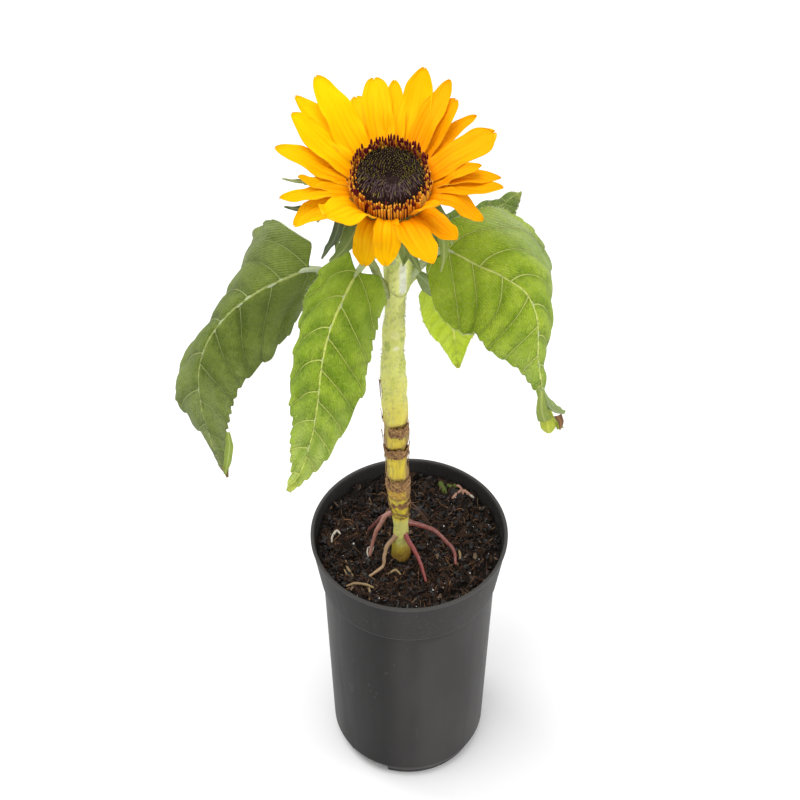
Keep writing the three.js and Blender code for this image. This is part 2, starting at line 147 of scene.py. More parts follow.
class Look:
    def __init__(self, name):
        self.material = bpy.data.materials.new(name)
        self.material.use_nodes = True
        self.tree = self.material.node_tree
        self.tree.nodes.clear()

    def node(self, kind, settings, sockets, output=0):
        node = self.tree.nodes.new("ShaderNode" + kind)
        for key, value in settings.items():
            setattr(node, key, value)
        for key, value in sockets.items():
            socket = socketOf(node.inputs, key)
            if isWire(value):
                self.tree.links.new(value.socket, socket)
            elif socket.type == "RGBA":
                socket.default_value = (*value, 1)
            else:
                socket.default_value = value
        return Wire(self, socketOf(node.outputs, output)) if node.outputs else None

    def maths(self, kind, *values):
        return self.node("Math", {"operation": kind}, dict(enumerate(values)))

    def parts(self, vector):
        return [self.node("SeparateXYZ", {}, {"Vector": vector}, axis) for axis in "XYZ"]

    # Where the surface is in the row frame, in millimetres: three numbers, then their vector.
    def place(self):
        x, y, z = [axis / mm for axis in self.parts(self.node("TexCoord", {}, {}, "Object"))]
        return x, y, z, self.vector(x, y, z)

    # Across and along a blade, in millimetres.
    def plan(self):
        return self.parts(self.node("UVMap", {"uv_map": "plan"}, {}, "UV"))[:2]

    def vector(self, x, y, z=0.0):
        return self.node("CombineXYZ", {}, {"X": x, "Y": y, "Z": z})

    def noise(self, at, size, detail=3, rough=0.6):
        sockets = {"Vector": at, "Scale": 1 / size, "Detail": detail, "Roughness": rough}
        return self.node("TexNoise", {}, sockets, "Fac")

    # The distance in millimetres to the nearest edge between cells of that size.
    def cells(self, at, size):
        sockets = {"Vector": at, "Scale": 1 / size}
        return self.node("TexVoronoi", {"feature": "DISTANCE_TO_EDGE"}, sockets, "Distance") * size

    # A colour with others laid over it in turn, each with its share.
    def coats(self, color, *others):
        for tint, share in others:
            sockets = {"Factor_Float": share, "A_Color": color, "B_Color": tint}
            color = self.node("Mix", {"data_type": "RGBA"}, sockets, "Result_Color")
        return color

    # Height is in millimetres. Through is the share and the colour of the light that passes.
    def surface(self, color, roughness, height=None, through=None, specular=0.5, sheen=0):
        sockets = {"Base Color": color, "Roughness": roughness, "Specular IOR Level": specular}
        sockets["Sheen Weight"] = sheen
        if height is not None:
            sockets["Normal"] = self.node("Bump", {}, {"Height": height, "Distance": mm}, "Normal")
        shader = self.node("BsdfPrincipled", {}, sockets, "BSDF")
        if through:
            share, tint = through
            passed = self.node("BsdfTranslucent", {}, {"Color": tint}, "BSDF")
            shader = self.node("MixShader", {}, {0: share, 1: shader, 2: passed}, "Shader")
        self.node("OutputMaterial", {}, {"Surface": shader})
        return self.material


def plainLook(name, color, roughness=0.7, through=None, specular=0.5):
    return Look(name).surface(color, roughness, None, through, specular)


# Shapes: points and triangles as arrays, a plan coordinate for each point and a look for each triangle.
class Shape:
    def __init__(self, points, faces, plan=None, looks=None):
        self.points = np.asarray(points, float).reshape(-1, 3)
        self.faces = np.asarray(faces, int).reshape(-1, 3)
        self.plan = np.zeros((len(self.points), 2)) if plan is None else np.asarray(plan).reshape(-1, 2)
        self.looks = np.zeros(len(self.faces), int) if looks is None else looks


def join(shapes):
    starts = np.cumsum([0] + [len(shape.points) for shape in shapes[:-1]])
    return Shape(
        np.concatenate([shape.points for shape in shapes]),
        np.concatenate([shape.faces + start for shape, start in zip(shapes, starts)]),
        np.concatenate([shape.plan for shape in shapes]),
        np.concatenate([shape.looks for shape in shapes]),
    )


# Shapes of one kind at once, from an array of the points of each.
def many(points, faces):
    return Shape(points, faces + np.arange(len(points))[:, None, None] * points.shape[1])


# Triangles of a grid of points that face the way columns cross rows.
def gridFaces(rows, columns, closed=False):
    r, c = np.meshgrid(np.arange(rows - 1), np.arange(columns - (not closed)), indexing="ij")
    a = r * columns + c
    b = r * columns + (c + 1) % columns
    return np.stack([a, b, b + columns, a, b + columns, a + columns], -1).reshape(-1, 3)


# Triangles of a closed tube: its rings of points, then the middles of its two ends.
def tubeFaces(rings, sides):
    around = np.arange(sides)
    after = (around + 1) % sides
    last = (rings - 1) * sides
    foot, tip = np.full(sides, last + sides), np.full(sides, last + sides + 1)
    return np.concatenate([
        gridFaces(rings, sides, closed=True),
        np.stack([foot, after, around], -1),
        np.stack([tip, around + last, after + last], -1),
    ])


def circle(across, other, sides):
    angle = np.arange(sides)[:, None] * turn / sides
    return across[..., None, :] * np.cos(angle) + other[..., None, :] * np.sin(angle)


# A round limb along a path of points, with a radius for each point or for each point and side.
def tube(path, radii, sides):
    path = np.asarray(path, float)
    forward = unit(np.gradient(path, axis=0))
    across = unit(np.cross(forward[0], [0.3, 0.9, 0.1] if abs(forward[0][2]) > 0.8 else [0, 0, 1]))
    frames = []
    for way in forward:
        across = unit(across - way * (across @ way))
        frames.append((across, np.cross(way, across)))
    frames = np.array(frames)
    radii = np.broadcast_to(np.asarray(radii, float).reshape(len(path), -1), (len(path), sides))
    points = path[:, None] + circle(frames[:, 0], frames[:, 1], sides) * radii[..., None]
    return Shape(np.concatenate([points.reshape(-1, 3), path[:1], path[-1:]]), tubeFaces(len(path), sides))


# Many small round bodies at once: a profile of shares of their length and radius, closed at both ends.
def studs(feet, ways, lengths, radii, profile, sides):
    feet, ways = np.asarray(feet, float), unit(np.asarray(ways, float))
    lengths = np.broadcast_to(lengths, len(feet))[:, None, None]
    radii = np.broadcast_to(radii, len(feet))[:, None, None]
    helper = np.where(np.abs(ways[:, 2:]) > 0.8, [[0.0, 1.0, 0.1]], [[0.0, 0.1, 1.0]])
    across = unit(np.cross(ways, helper))
    ring = circle(across, np.cross(ways, across), sides)
    rows = [feet[:, None] + ways[:, None] * lengths * up + ring * radii * out for up, out in profile]
    ends = [feet[:, None], feet[:, None] + ways[:, None] * lengths]
    return many(np.concatenate(rows + ends, axis=1), tubeFaces(len(profile), sides))


# Many thin bent threads at once, from an array of paths.
def strands(paths, radii, sides):
    paths = np.asarray(paths, float)
    count, steps = paths.shape[:2]
    forward = unit(np.gradient(paths, axis=1))
    across = unit(np.cross(forward, [[[0.21, 0.13, 0.97]]]))
    radii = np.broadcast_to(radii, (count, steps))[..., None, None]
    points = paths[:, :, None] + circle(across, np.cross(forward, across), sides) * radii
    points = np.concatenate([points.reshape(count, -1, 3), paths[:, :1], paths[:, -1:]], axis=1)
    return many(points, tubeFaces(steps, sides))


# Copies of one shape, each with its own 3 by 3 matrix and place.
def copies(shape, matrices, places):
    return many(np.einsum("kij,pj->kpi", matrices, shape.points) + np.asarray(places)[:, None], shape.faces)


# A closed thin blade over a grid of points. The upper side has look 0, the under side and rim look 1.
def sheet(middle, thickness, plan):
    rows, columns = middle.shape[:2]
    normal = unit(np.cross(np.gradient(middle, axis=1), np.gradient(middle, axis=0)))
    half = normal * np.asarray(thickness)[..., None] / 2
    top = gridFaces(rows, columns)
    count = rows * columns
    edge = np.concatenate([
        np.arange(columns),
        np.arange(1, rows) * columns + columns - 1,
        count - 2 - np.arange(columns - 1),
        np.arange(rows - 2, 0, -1) * columns,
    ])
    following = np.roll(edge, -1)
    rim = np.stack([edge, edge + count, following + count, edge, following + count, following], -1)
    faces = np.concatenate([top, top[:, ::-1] + count, rim.reshape(-1, 3)])
    looks = np.concatenate([np.zeros(len(top), int), np.ones(len(faces) - len(top), int)])
    points = np.concatenate([(middle + half).reshape(-1, 3), (middle - half).reshape(-1, 3)])
    return Shape(points, faces, np.concatenate([plan.reshape(-1, 2)] * 2), looks)


# A profile of radii and heights turned about the Z axis, up on the outside and down on the inside.
def lathe(profile, columns, moved=lambda points: points):
    radius, height = np.asarray(profile, float).T[..., None]
    angle = np.arange(columns) * turn / columns
    points = np.stack([radius * np.cos(angle), radius * np.sin(angle), height + 0 * angle], -1)
    return Shape(moved(points), gridFaces(len(profile), columns, closed=True))


# The same profile with its corners rounded, and a point on each side that keeps flats flat.
def rounded(profile, radius):
    p = np.asarray(profile, float)
    line = [p[0]]
    for before, corner, after in zip(p, p[1:], p[2:]):
        back, on = before - corner, after - corner
        cut = min(radius, 0.3 * np.linalg.norm(back), 0.3 * np.linalg.norm(on))
        a, b = corner + unit(back) * cut, corner + unit(on) * cut
        line.append(corner + unit(back) * cut * 1.5)
        line += [a * (1 - f) ** 2 + corner * 2 * f * (1 - f) + b * f ** 2 for f in (0, 0.25, 0.5, 0.75, 1)]
        line.append(corner + unit(on) * cut * 1.5)
    return np.array(line + [p[-1]])


def addPiece(name, shape, looks, replaced=(), facets=False):
    mesh = bpy.data.meshes.new(name)
    mesh.vertices.add(len(shape.points))
    mesh.vertices.foreach_set("co", (shape.points * mm).ravel())
    mesh.loops.add(shape.faces.size)
    mesh.loops.foreach_set("vertex_index", shape.faces.ravel())
    mesh.polygons.add(len(shape.faces))
    mesh.polygons.foreach_set("loop_start", np.arange(0, shape.faces.size, 3))
    mesh.polygons.foreach_set("material_index", shape.looks)
    mesh.update(calc_edges=True)
    if shape.plan.any():
        mesh.uv_layers.new(name="plan").data.foreach_set("uv", shape.plan[shape.faces.ravel()].ravel())
    for look in looks:
        mesh.materials.append(look)
    mesh.shade_flat() if facets else mesh.shade_smooth()
    piece = bpy.data.objects.new(name, mesh)
    bpy.context.scene.collection.objects.link(piece)
    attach(piece, "root")
    if replaced:
        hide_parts(*replaced)
    return piece


# Pot
pot = {
    "notches": (115, 235, 355),
    "notchHalfAngle": 18,
    "notchHeight": 6,
    "notchInside": 39,
    "columns": 360,
    "corner": 0.5,
    "bandFoot": 159.1,
    "profile": [
        (0, 8), (43.5, 8), (44, 8), (47.8, 11), (51.3, 157), (52.9, 159), (57.6, 193.4), (58, 195),
        (60, 195), (60, 193.6), (59.6, 193.2), (54.9, 159), (53.3, 159), (49.8, 11), (49.2, 9.2),
        (46.6, 3), (46, 0), (40, 0), (40, 6), (18, 6), (18, 0), (0, 0),
    ],
}


# Lifts the foot over the drain notches.
def potFeet(points):
    angle = np.degrees(np.arctan2(points[..., 1], points[..., 0]))
    away = np.min([np.abs((angle - middle + 180) % 360 - 180) for middle in pot["notches"]], axis=0)
    radius = np.hypot(points[..., 0], points[..., 1])
    notched = (away < pot["notchHalfAngle"]) & (radius > pot["notchInside"])
    points[..., 2] = np.where(notched, np.maximum(points[..., 2], pot["notchHeight"]), points[..., 2])
    return points


def potLook():
    look = Look("pot plastic")
    x, y, z, at = look.place()
    streaks = look.noise(look.vector(x, y, z / 14), 5, 4)
    dust = look.noise(at, 1.1, 2)
    patches = look.noise(look.vector(x, y, z / 2), 34, 2, 0.5)
    scuffs = look.noise(look.vector(x * 0.9, y * 0.9, z * 0.5), 3.4, 1, 0.5)
    band = smooth(158, 160, z)
    # Painted highlight: a lighter line along the step at the band's foot. Painted light: the top face of the
    # rim lighter.
    line = smooth(0.75, 0.25, abs(z - pot["bandFoot"] + 0.4 * (dust - 0.5)))
    rimTopLight = smooth(192.6, 193.4, z) * smooth(57, 59, (x * x + y * y) ** 0.5)
    front, body = smooth(0, -20, y), smooth(157, 150, z)
    color = look.coats(
        (0.024, 0.0218, 0.0214),
        ((0.042, 0.0386, 0.0380), smooth(0.35, 0.75, patches) * 0.6 + streaks * 0.3),
        ((0.075, 0.07, 0.065), band * smooth(0.56, 0.72, dust) * 0.5),
        ((0.10, 0.09, 0.08), smooth(9, 1, z) * smooth(0.45, 0.7, dust) * 0.5),
        # Painted shade: darker at the front left. Painted reflection: a soft lighter vertical strip on the
        # front right of the body.
        ((0.006, 0.0053, 0.0052), smooth(-2, -18, x) * front * 0.8),
        ((0.055, 0.0515, 0.050), smooth(2, 12, x) * smooth(36, 18, x) * front * body * 0.4),
        ((0.13, 0.12, 0.115), line * 0.5),
        ((0.10, 0.095, 0.09), rimTopLight * 0.5),
        ((0.055, 0.05, 0.048), smooth(0.69, 0.75, scuffs) * 0.3),
    )
    height = 0.05 * streaks + 0.012 * dust + 0.25 * patches
    return look.surface(color, 0.36 + 0.14 * streaks + 0.08 * band, height, specular=0.115)


potShell = lathe(rounded(pot["profile"][::-1], pot["corner"]), pot["columns"], potFeet)
addPiece("potShell", potShell, [potLook()], ["pot"])
print("pot done")


# Soil
soil = {
    "level": 186,
    "lumps": 2.4,
    "lumpLength": 20,
    "calm": (14, 22),
    "relief": [(1.25, 13, 3), (0.65, 6, 4), (0.4, 2.6, 5)],  # depth, length and seed of finer waves
    "side": [(0, 8.3), (43, 8.3), (47, 12), (50.8, 156), (52.4, 160)],
    "edge": 56.2,
    "rows": 190,
    "columns": 300,
    "reach": {"crumbs": 55.0, "fibreStarts": 50, "fibres": 54, "litter": 53},
    "fibres": {"Tan": (153, (3, 11), (0.12, 0.34)), "Brown": (460, (3, 13), (0.12, 0.4))},
    # White grains: partly real pale specks, partly painted glints of the wet soil.
    "grains": (130, (0.14, 0.6)),
    "shownGrains": [(49.2, 12.3), (21.5, 12.7), (5.7, 39.6), (36.5, -24.1), (-24, -6), (-22, 1)],
    "crumbs": {  # number, sizes, how far each stands out, its form and its look
        "Dark": (1300, (0.5, 2.2), 0.2, (1, 0.5, 0.9), "crumb dark"),
        "Brown": (900, (0.4, 2.0), 0.25, (1, 0.5, 0.8), "crumb brown"),
        "Grey": (300, (0.4, 1.8), 0.3, (1, 0.45, 0.8), "crumb grey"),
        "Clods": (210, (1.5, 3.8), 0.1, (1, 0.45, 0.8), "crumb dark"),
        "Bark": (420, (1.0, 3.2), 0.35, (1.5, 0.2, 0.45), "crumb brown"),
        "Chips": (120, (0.8, 2.6), 0.5, (1.5, 0.18, 0.4), "chip tan"),
    },
    "tints": {  # colour, roughness and specular level
        "crumb dark": ((0.008, 0.0055, 0.0045), 0.42, 0.4),
        "crumb brown": ((0.038, 0.020, 0.012), 0.8, 0.15),
        "crumb grey": ((0.075, 0.055, 0.055), 0.8, 0.15),
        "chip tan": ((0.17, 0.115, 0.075), 0.8, 0.15),
        "fibre tan": ((0.22, 0.12, 0.06), 0.8, 0.15),
        "fibre brown": ((0.075, 0.038, 0.022), 0.8, 0.15),
        "grain white": ((0.75, 0.72, 0.68), 0.6, 0.5),
    },
}


def soilHeight(x, y):
    k = turn / soil["lumpLength"]
    waves = np.sin(x * k + 1.3) * np.cos(y * k * 0.87) + np.sin((x * 0.55 - y * 0.74) * k)
    flat = np.stack([x, y], -1)
    fine = sum(depth * ripple(flat, size, seed) for depth, size, seed in soil["relief"])
    return soil["level"] - soil["lumps"] * (0.5 + waves / 4) * smooth(*soil["calm"], np.hypot(x, y)) + fine


def soilBed():
    radius = np.linspace(0, soil["edge"], soil["rows"])[::-1]
    profile = np.concatenate([soil["side"], np.stack([radius, np.full(len(radius), soil["level"])], -1)])

    def moved(points):
        top = points[len(soil["side"]):]
        top[..., 2] = soilHeight(top[..., 0], top[..., 1])
        return points

    return lathe(profile, soil["columns"], moved)


# Random places on the soil.
def soilSpots(rng, count, reach):
    angle = rng.uniform(0, turn, count)
    radius = reach * np.sqrt(rng.uniform(0, 1, count))
    x, y = radius * np.cos(angle), radius * np.sin(angle)
    return np.stack([x, y, soilHeight(x, y)], -1)


# Random turns, as 3 by 3 matrices.
def turned(rng, count):
    w, x, y, z = unit(rng.normal(size=(count, 4))).T
    return np.stack([
        np.stack([1 - 2 * (y * y + z * z), 2 * (x * y - w * z), 2 * (x * z + w * y)], -1),
        np.stack([2 * (x * y + w * z), 1 - 2 * (x * x + z * z), 2 * (y * z - w * x)], -1),
        np.stack([2 * (x * z - w * y), 2 * (y * z + w * x), 1 - 2 * (x * x + y * y)], -1),
    ], 1)


# A rough lump of radius 1 with 80 faces.
def lump(seed):
    g = (1 + math.sqrt(5)) / 2
    corners = np.array([
        (-1, g, 0), (1, g, 0), (-1, -g, 0), (1, -g, 0), (0, -1, g), (0, 1, g), (0, -1, -g), (0, 1, -g),
        (g, 0, -1), (g, 0, 1), (-g, 0, -1), (-g, 0, 1),
    ], float)
    sides = [
        (0, 11, 5), (0, 5, 1), (0, 1, 7), (0, 7, 10), (0, 10, 11), (1, 5, 9), (5, 11, 4), (11, 10, 2),
        (10, 7, 6), (7, 1, 8), (3, 9, 4), (3, 4, 2), (3, 2, 6), (3, 6, 8), (3, 8, 9), (4, 9, 5), (2, 4, 11),
        (6, 2, 10), (8, 6, 7), (9, 8, 1),
    ]
    points, middles, faces = list(unit(corners)), {}, []

    def middle(a, b):
        key = (min(a, b), max(a, b))
        if key not in middles:
            middles[key] = len(points)
            points.append(unit(points[a] + points[b]))
        return middles[key]

    for a, b, c in sides:
        ab, bc, ca = middle(a, b), middle(b, c), middle(c, a)
        faces += [(a, ab, ca), (b, bc, ab), (c, ca, bc), (ab, bc, ca)]
    points = np.array(points)
    return Shape(points * (1 + 0.26 * ripple(points, 1.0, seed))[:, None], faces)


def lumps(rng, count, sizes, standing, seed, form=(1, 0.5, 0.9)):
    spots = soilSpots(rng, count, soil["reach"]["crumbs"])
    size = mix(*sizes, rng.uniform(0, 1, count) ** 2.5)
    shares = rng.uniform(0.6, 1.3, (count, 3)) * form
    spots[:, 2] += size * standing
    return copies(lump(seed), turned(rng, count) * (size[:, None] * shares)[:, None], spots)


# Bent fibres that lie on the soil.
def fibres(rng, count, lengths, radii, steps=7):
    spot = soilSpots(rng, count, soil["reach"]["fibreStarts"])[:, :2]
    heading = rng.uniform(0, turn, count)
    bend = rng.normal(0, 0.9, count)
    length = rng.uniform(*lengths, count)
    rise = rng.uniform(-0.2, 1.4, count)
    paths = []
    for f in np.linspace(0, 1, steps):
        z = soilHeight(*spot.T) + 0.25 + rise * math.sin(f * math.pi)
        paths.append(np.column_stack([spot, z]))
        way = heading + bend * f
        spot = spot + np.stack([np.cos(way), np.sin(way)], -1) * (length / (steps - 1))[:, None]
        spot *= np.minimum(1, soil["reach"]["fibres"] / np.maximum(np.hypot(*spot.T), 1))[:, None]
    thin = np.sin(np.linspace(0.35, math.pi - 0.2, steps))
    return strands(np.stack(paths, 1), rng.uniform(*radii, count)[:, None] * thin, 5)


def soilLook():
    look = Look("potting soil")
    *_, at = look.place()
    coarse = look.noise(at, 7, 5)
    fine = look.noise(at, 1.2, 4, 0.65)
    color = look.coats(
        (0.006, 0.0045, 0.0035),
        ((0.035, 0.020, 0.013), smooth(0.45, 0.75, fine)),
        ((0.055, 0.035, 0.028), smooth(0.56, 0.72, coarse) * 0.6),
    )
    roughness = 0.8 - 0.3 * smooth(0.5, 0.7, coarse)
    return look.surface(color, roughness, 1.1 * fine + 0.8 * coarse, specular=0.25)


# Bits that lie on the soil: a colour, then thickness and path of each, with the height over the soil.
litter = {
    "pink": ((0.46, 0.25, 0.18), [
        (1.1, [(26.9, 34.7, 0.6), (30, 38, 1.4), (33.3, 41.3, 1.6), (35.9, 47.1, 1)]),
        (1.0, [(33.8, 38, 1), (34.2, 40, 1.8), (38, 38.5, 1.6), (42.5, 34.7, 0.4)]),
        (0.9, [(33.3, 41.3, 1.6), (32.5, 45, 2.6), (34.1, 50, 2)]),
    ]),
    "pale": ((0.55, 0.49, 0.40), [
        (0.8, [(-47.3, -1.6, 0.4), (-47.2, 2, 1), (-46, 4.7, 1.4), (-44.3, 7.1, 1.2), (-42, 4.7, 0.5)]),
        (0.6, [(-38.5, 9.5, 0.4), (-36.4, 11.1, 1), (-33.2, 9.5, 0.4)]),
        (0.8, [(-24.4, -13.3, 0.6), (-22.6, -8, 1.2), (-22, -4, 0.6)]),
        (0.6, [(-24.4, -13.3, 0.6), (-25.4, -10, 1), (-25.1, -6.3, 0.8)]),
        (0.9, [(37.5, 40.5, 1.2), (40.6, 38.8, 1.8), (42.2, 35.4, 1)]),
    ]),
    "tan": ((0.30, 0.21, 0.11), [
        (0.9, [(-38.9, -12.2, 0.8), (-37.3, -20.3, 1), (-33.8, -27.2, 0.5)]),
        (0.4, [(-41.9, -14.9, 0.6), (-40, -21, 0.9), (-37.4, -27.9, 0.4)]),
        (0.9, [(-37.9, -34.8, 0.8), (-32.5, -33.6, 1.4), (-25.9, -34.8, 1.4), (-21.1, -37, 0.7)]),
        (0.8, [(-24.1, -36.3, 1.4), (-23.4, -41, 1), (-23.7, -45.3, 0.5)]),
        (0.9, [(28.5, -19.5, 0.4), (31, -13, 1.2), (30.3, -6.3, 0.8)]),
        (0.8, [(-13, -27, 0.4), (-8.5, -24, 1.2), (-5, -27, 0.4)]),
    ]),
    "green": ((0.10, 0.13, 0.03), [
        (1.9, [(19.6, 48.8, 0), (21, 44, 0.6), (23.2, 38.8, 0)]),
        (1.5, [(32, 50.5, 0.4), (34.1, 52.2, 1), (36, 51, 0.4)]),
        (1.4, [(24, 46, 0), (27, 43.5, 0.5), (29, 40, 0)]),
    ]),
}


def litterShape(way, thick, seed):
    t = np.linspace(0, 1, 26)
    line = spline(way, t)
    line[:, :2] *= np.minimum(1, soil["reach"]["litter"] / np.hypot(line[:, 0], line[:, 1]))[:, None]
    line[:, 2] += mix(*soilHeight(line[[0, -1], 0], line[[0, -1], 1]), t) + 0.3
    radius = thick * (0.45 + 0.55 * np.sin(t * math.pi) ** 0.6) * (1 + 0.08 * ripple(line, 5, seed))
    return tube(line, radius, 9)


def soilPieces(rng):
    def add(name, shape, look, facets=False):
        addPiece(name, shape, [look], facets=facets)

    tints = soil["tints"].items()
    looks = {name: plainLook(name, tint, rough, specular=shine) for name, (tint, rough, shine) in tints}
    addPiece("soilBed", soilBed(), [soilLook()], ["soil"])
    for i, (name, (count, sizes, standing, form, look)) in enumerate(soil["crumbs"].items()):
        add("soil" + name, lumps(rng, count, sizes, standing, i + 1, form), looks[look], True)
    for name, (count, lengths, radii) in soil["fibres"].items():
        add("soilFibres" + name, fibres(rng, count, lengths, radii), looks["fibre " + name.lower()])
    grains = lumps(rng, *soil["grains"], 1.0, 6)
    spots = np.array(soil["shownGrains"])
    spots = np.column_stack([spots, soilHeight(*spots.T) + 0.9])
    shown = copies(lump(6), np.broadcast_to(np.diag((0.6, 0.4, 0.5)), (len(spots), 3, 3)), spots)
    add("soilGrains", join([grains, shown]), looks["grain white"], True)
    for name, (tint, ways) in litter.items():
        shapes = [litterShape(way, thick, 50 + i) for i, (thick, way) in enumerate(ways)]
        add("litter_" + name, join(shapes), plainLook("litter " + name, tint, specular=0.15))


soilPieces(np.random.default_rng(11))
print("soil done")


# Stem. Stations are height, centre x, centre y and radius.
stem = {
    "stations": [
        (186.3, -5, -10, 5.7), (194, -5, -10, 5.5), (204, -5, -10, 4.4), (220, -5.2, -10, 4.7),
        (236, -6, -10, 6.2), (252, -6.8, -10, 7), (268, -7.3, -10, 6.2), (284, -7.7, -10, 7),
        (312, -8.4, -10, 7.2), (340, -9.4, -10, 7), (364, -9.4, -10, 5.8), (388, -8.2, -10, 5.3),
        (402, -7.4, -10, 5.1), (415, -6.2, -10, 7.8), (430, -7.2, -10, 6.2), (441, -8.8, -11.4, 5),
        (450, -10, -13.6, 4.9), (458.8, -10.4, -15.6, 5.2),
    ],
    "rows": 560,
    "sides": 72,
    "sunk": 6,
    "girth": 7,
    "bands": [  # foot, top, colour, and where across each begins
        (297, 306, (0.20, 0.085, 0.025), (-14, -7)), (279, 287, (0.16, 0.065, 0.022), None),
        (252, 260, (0.17, 0.07, 0.05), None), (244, 252, (0.42, 0.19, 0.035), None),
        (236, 238.5, (0.20, 0.09, 0.03), None), (224, 227, (0.24, 0.11, 0.03), None),
    ],
    "haloBands": 4,
    "spots": [  # x, z, half width, half height, colour and share
        (-12.3, 367, 1.8, 4.6, (0.26, 0.36, 0.02), 0.6), (-8.3, 375, 2.6, 3.6, (0.90, 0.88, 0.34), 0.8),
        (-4.4, 371, 1.2, 2.6, (0.30, 0.42, 0.04), 0.45), (-7.5, 366, 2.0, 2.0, (0.92, 0.90, 0.60), 0.7),
        (-4.0, 352, 2.0, 7.0, (0.46, 0.56, 0.06), 0.5), (-9.5, 341, 1.6, 5.0, (0.50, 0.56, 0.06), 0.5),
    ],
    # Height, half width and depth of each waist, or of a swelling where that is below 0
    "scars": [
        (231.5, 5, 0.5), (252, 6, 0.35), (283, 4, 0.45), (301.5, 5, 0.35), (369.5, 5, -0.7), (404, 4, -0.4),
    ],
    "hairs": {"count": 5200, "from": 312, "to": 461, "length": (1.2, 2.8), "radius": 0.085, "sunk": 0.3},
}
stations = np.array(stem["stations"], float)


def stemAt(t):
    return spline(stations[:, [1, 2, 0]], t), spline(stations[:, 3], t)


def stemShare(height):
    return np.interp(height, stations[:, 0], np.linspace(0, 1, len(stations)))


def stemShape():
    path, radius = stemAt(np.linspace(0, 1, stem["rows"]))
    path[0, 2] -= stem["sunk"]
    angle = np.arange(stem["sides"]) * turn / stem["sides"]
    z = path[:, 2:]
    x, y = np.cos(angle) * stem["girth"], np.sin(angle) * stem["girth"]
    around = np.stack([x + 0 * z, y + 0 * z, z + 0 * angle], -1)
    relief = 0.28 * ripple(around, 16, 21) + 0.1 * ripple(around, 4, 22)
    relief = relief + 0.14 * ripple(around * [1, 1, 0.08], 3.2, 23)
    for height, span, depth in stem["scars"]:
        off = (z + 1.3 * ripple(around[..., :2], 12, int(height)) - height) / span
        relief = relief - depth * np.exp(-off ** 2) + 0.3 * abs(depth) * np.exp(-(off ** 2 - 1) ** 2 * 6)
    return tube(path, radius[:, None] + relief, stem["sides"])


def stemLook():
    look = Look("stem skin")
    x, y, z, at = look.place()
    cloud = look.noise(at, 11, 3, 0.55)
    long = look.noise(look.vector(x, y, z / 12), 1.3)
    fine = look.noise(at, 1.6)
    color = look.coats(
        (0.74, 0.58, 0.035),
        ((0.74, 0.76, 0.18), smooth(300, 372, z + 30 * cloud)),
        ((0.42, 0.34, 0.03), smooth(0.5, 0.68, long) * smooth(345, 315, z) * 0.6),
        # Paler towards the neck: partly its own lime colour, partly painted light that lifts the shade of the
        # petals.
        ((0.94, 0.97, 0.30), smooth(370, 415, z) * 0.9),
        ((0.52, 0.60, 0.09), smooth(0.55, 0.75, cloud) * 0.5),
        ((0.86, 0.82, 0.42), smooth(0.52, 0.7, long) * 0.4),
        ((0.24, 0.11, 0.03), smooth(203, 190, z + 9 * (cloud - 0.5) - 0.6 * (x + 5)) * 0.85),
        ((0.40, 0.27, 0.015), smooth(308, 292, z) * smooth(0.42, 0.62, long) * 0.55),
        ((0.62, 0.62, 0.20), smooth(225, 219, z + 5 * (cloud - 0.5)) * smooth(196, 202, z) * 0.8),
    )
    wander = z + 6 * (cloud - 0.5) + 4 * (long - 0.5)
    bands = [(*band, smooth(*begins, x) if begins else 1.0) for *band, begins in stem["bands"]]
    for low, high, _, part in bands[:stem["haloBands"]]:
        halo = smooth((high - low) / 2 + 5, (high - low) / 2, abs(wander - (low + high) / 2))
        color = look.coats(color, ((0.34, 0.15, 0.015), halo * part * smooth(0.35, 0.65, fine) * 0.7))
    for low, high, tint, part in bands:
        inside = smooth(low - 1, low + 1, wander) * smooth(high + 1, high - 1, wander)
        edges = smooth(1.3, 0.3, abs(wander - low)) + smooth(1.3, 0.3, abs(wander - high))
        color = look.coats(
            color,
            (tint, inside * part * (0.3 + 0.6 * smooth(0.4, 0.6, fine))),
            ((0.07, 0.028, 0.016), edges * part * 0.55),
        )
    front = smooth(-8, -11, y)
    for acrossAt, upAt, wide, tall, tint, share in stem["spots"]:
        offX, offZ = (x - acrossAt + 2 * (fine - 0.5)) / wide, (z - upAt + 3 * (long - 0.5)) / tall
        color = look.coats(color, (tint, smooth(1.1, 0.5, offX * offX + offZ * offZ) * front * share))
    sides = smooth(3.6, 6.2, abs(x + 7.6) + 1.5 * (long - 0.5)) * smooth(222, 240, z) * smooth(318, 300, z)
    neck = smooth(403, 407, z) * smooth(429, 424, z) * front
    # Painted highlight: a whitish strip down the front of the neck, where its white hairs catch the light;
    # the skin is less rough there too.
    neckHighlight = smooth(-6.6, -5.4, x + long - 0.5) * smooth(-1.9, -2.9, x + long - 0.5) * neck
    clasp = abs(z - 403 - 0.11 * (x + 4.6) * (x + 4.6)) + 0.6 * (fine - 0.5)
    color = look.coats(
        color,
        ((0.22, 0.10, 0.04), sides * 0.8),
        ((0.88, 0.90, 0.76), neckHighlight * 0.85),
        ((0.36, 0.48, 0.08), smooth(-2.2, -1.0, x + fine - 0.5) * neck * 0.4),
        ((0.22, 0.24, 0.06), smooth(0.9, 0.25, clasp) * front * 0.6),
        ((0.26, 0.13, 0.04), smooth(345, 320, z) * smooth(0.6, 0.72, look.noise(at, 5)) * 0.75),
    )
    height = 0.25 * long + 0.18 * fine + 0.6 * smooth(2.2, 0, clasp)
    return look.surface(color, 0.5 + 0.15 * fine - 0.2 * neckHighlight, height, (0.12, (0.75, 0.8, 0.25)))


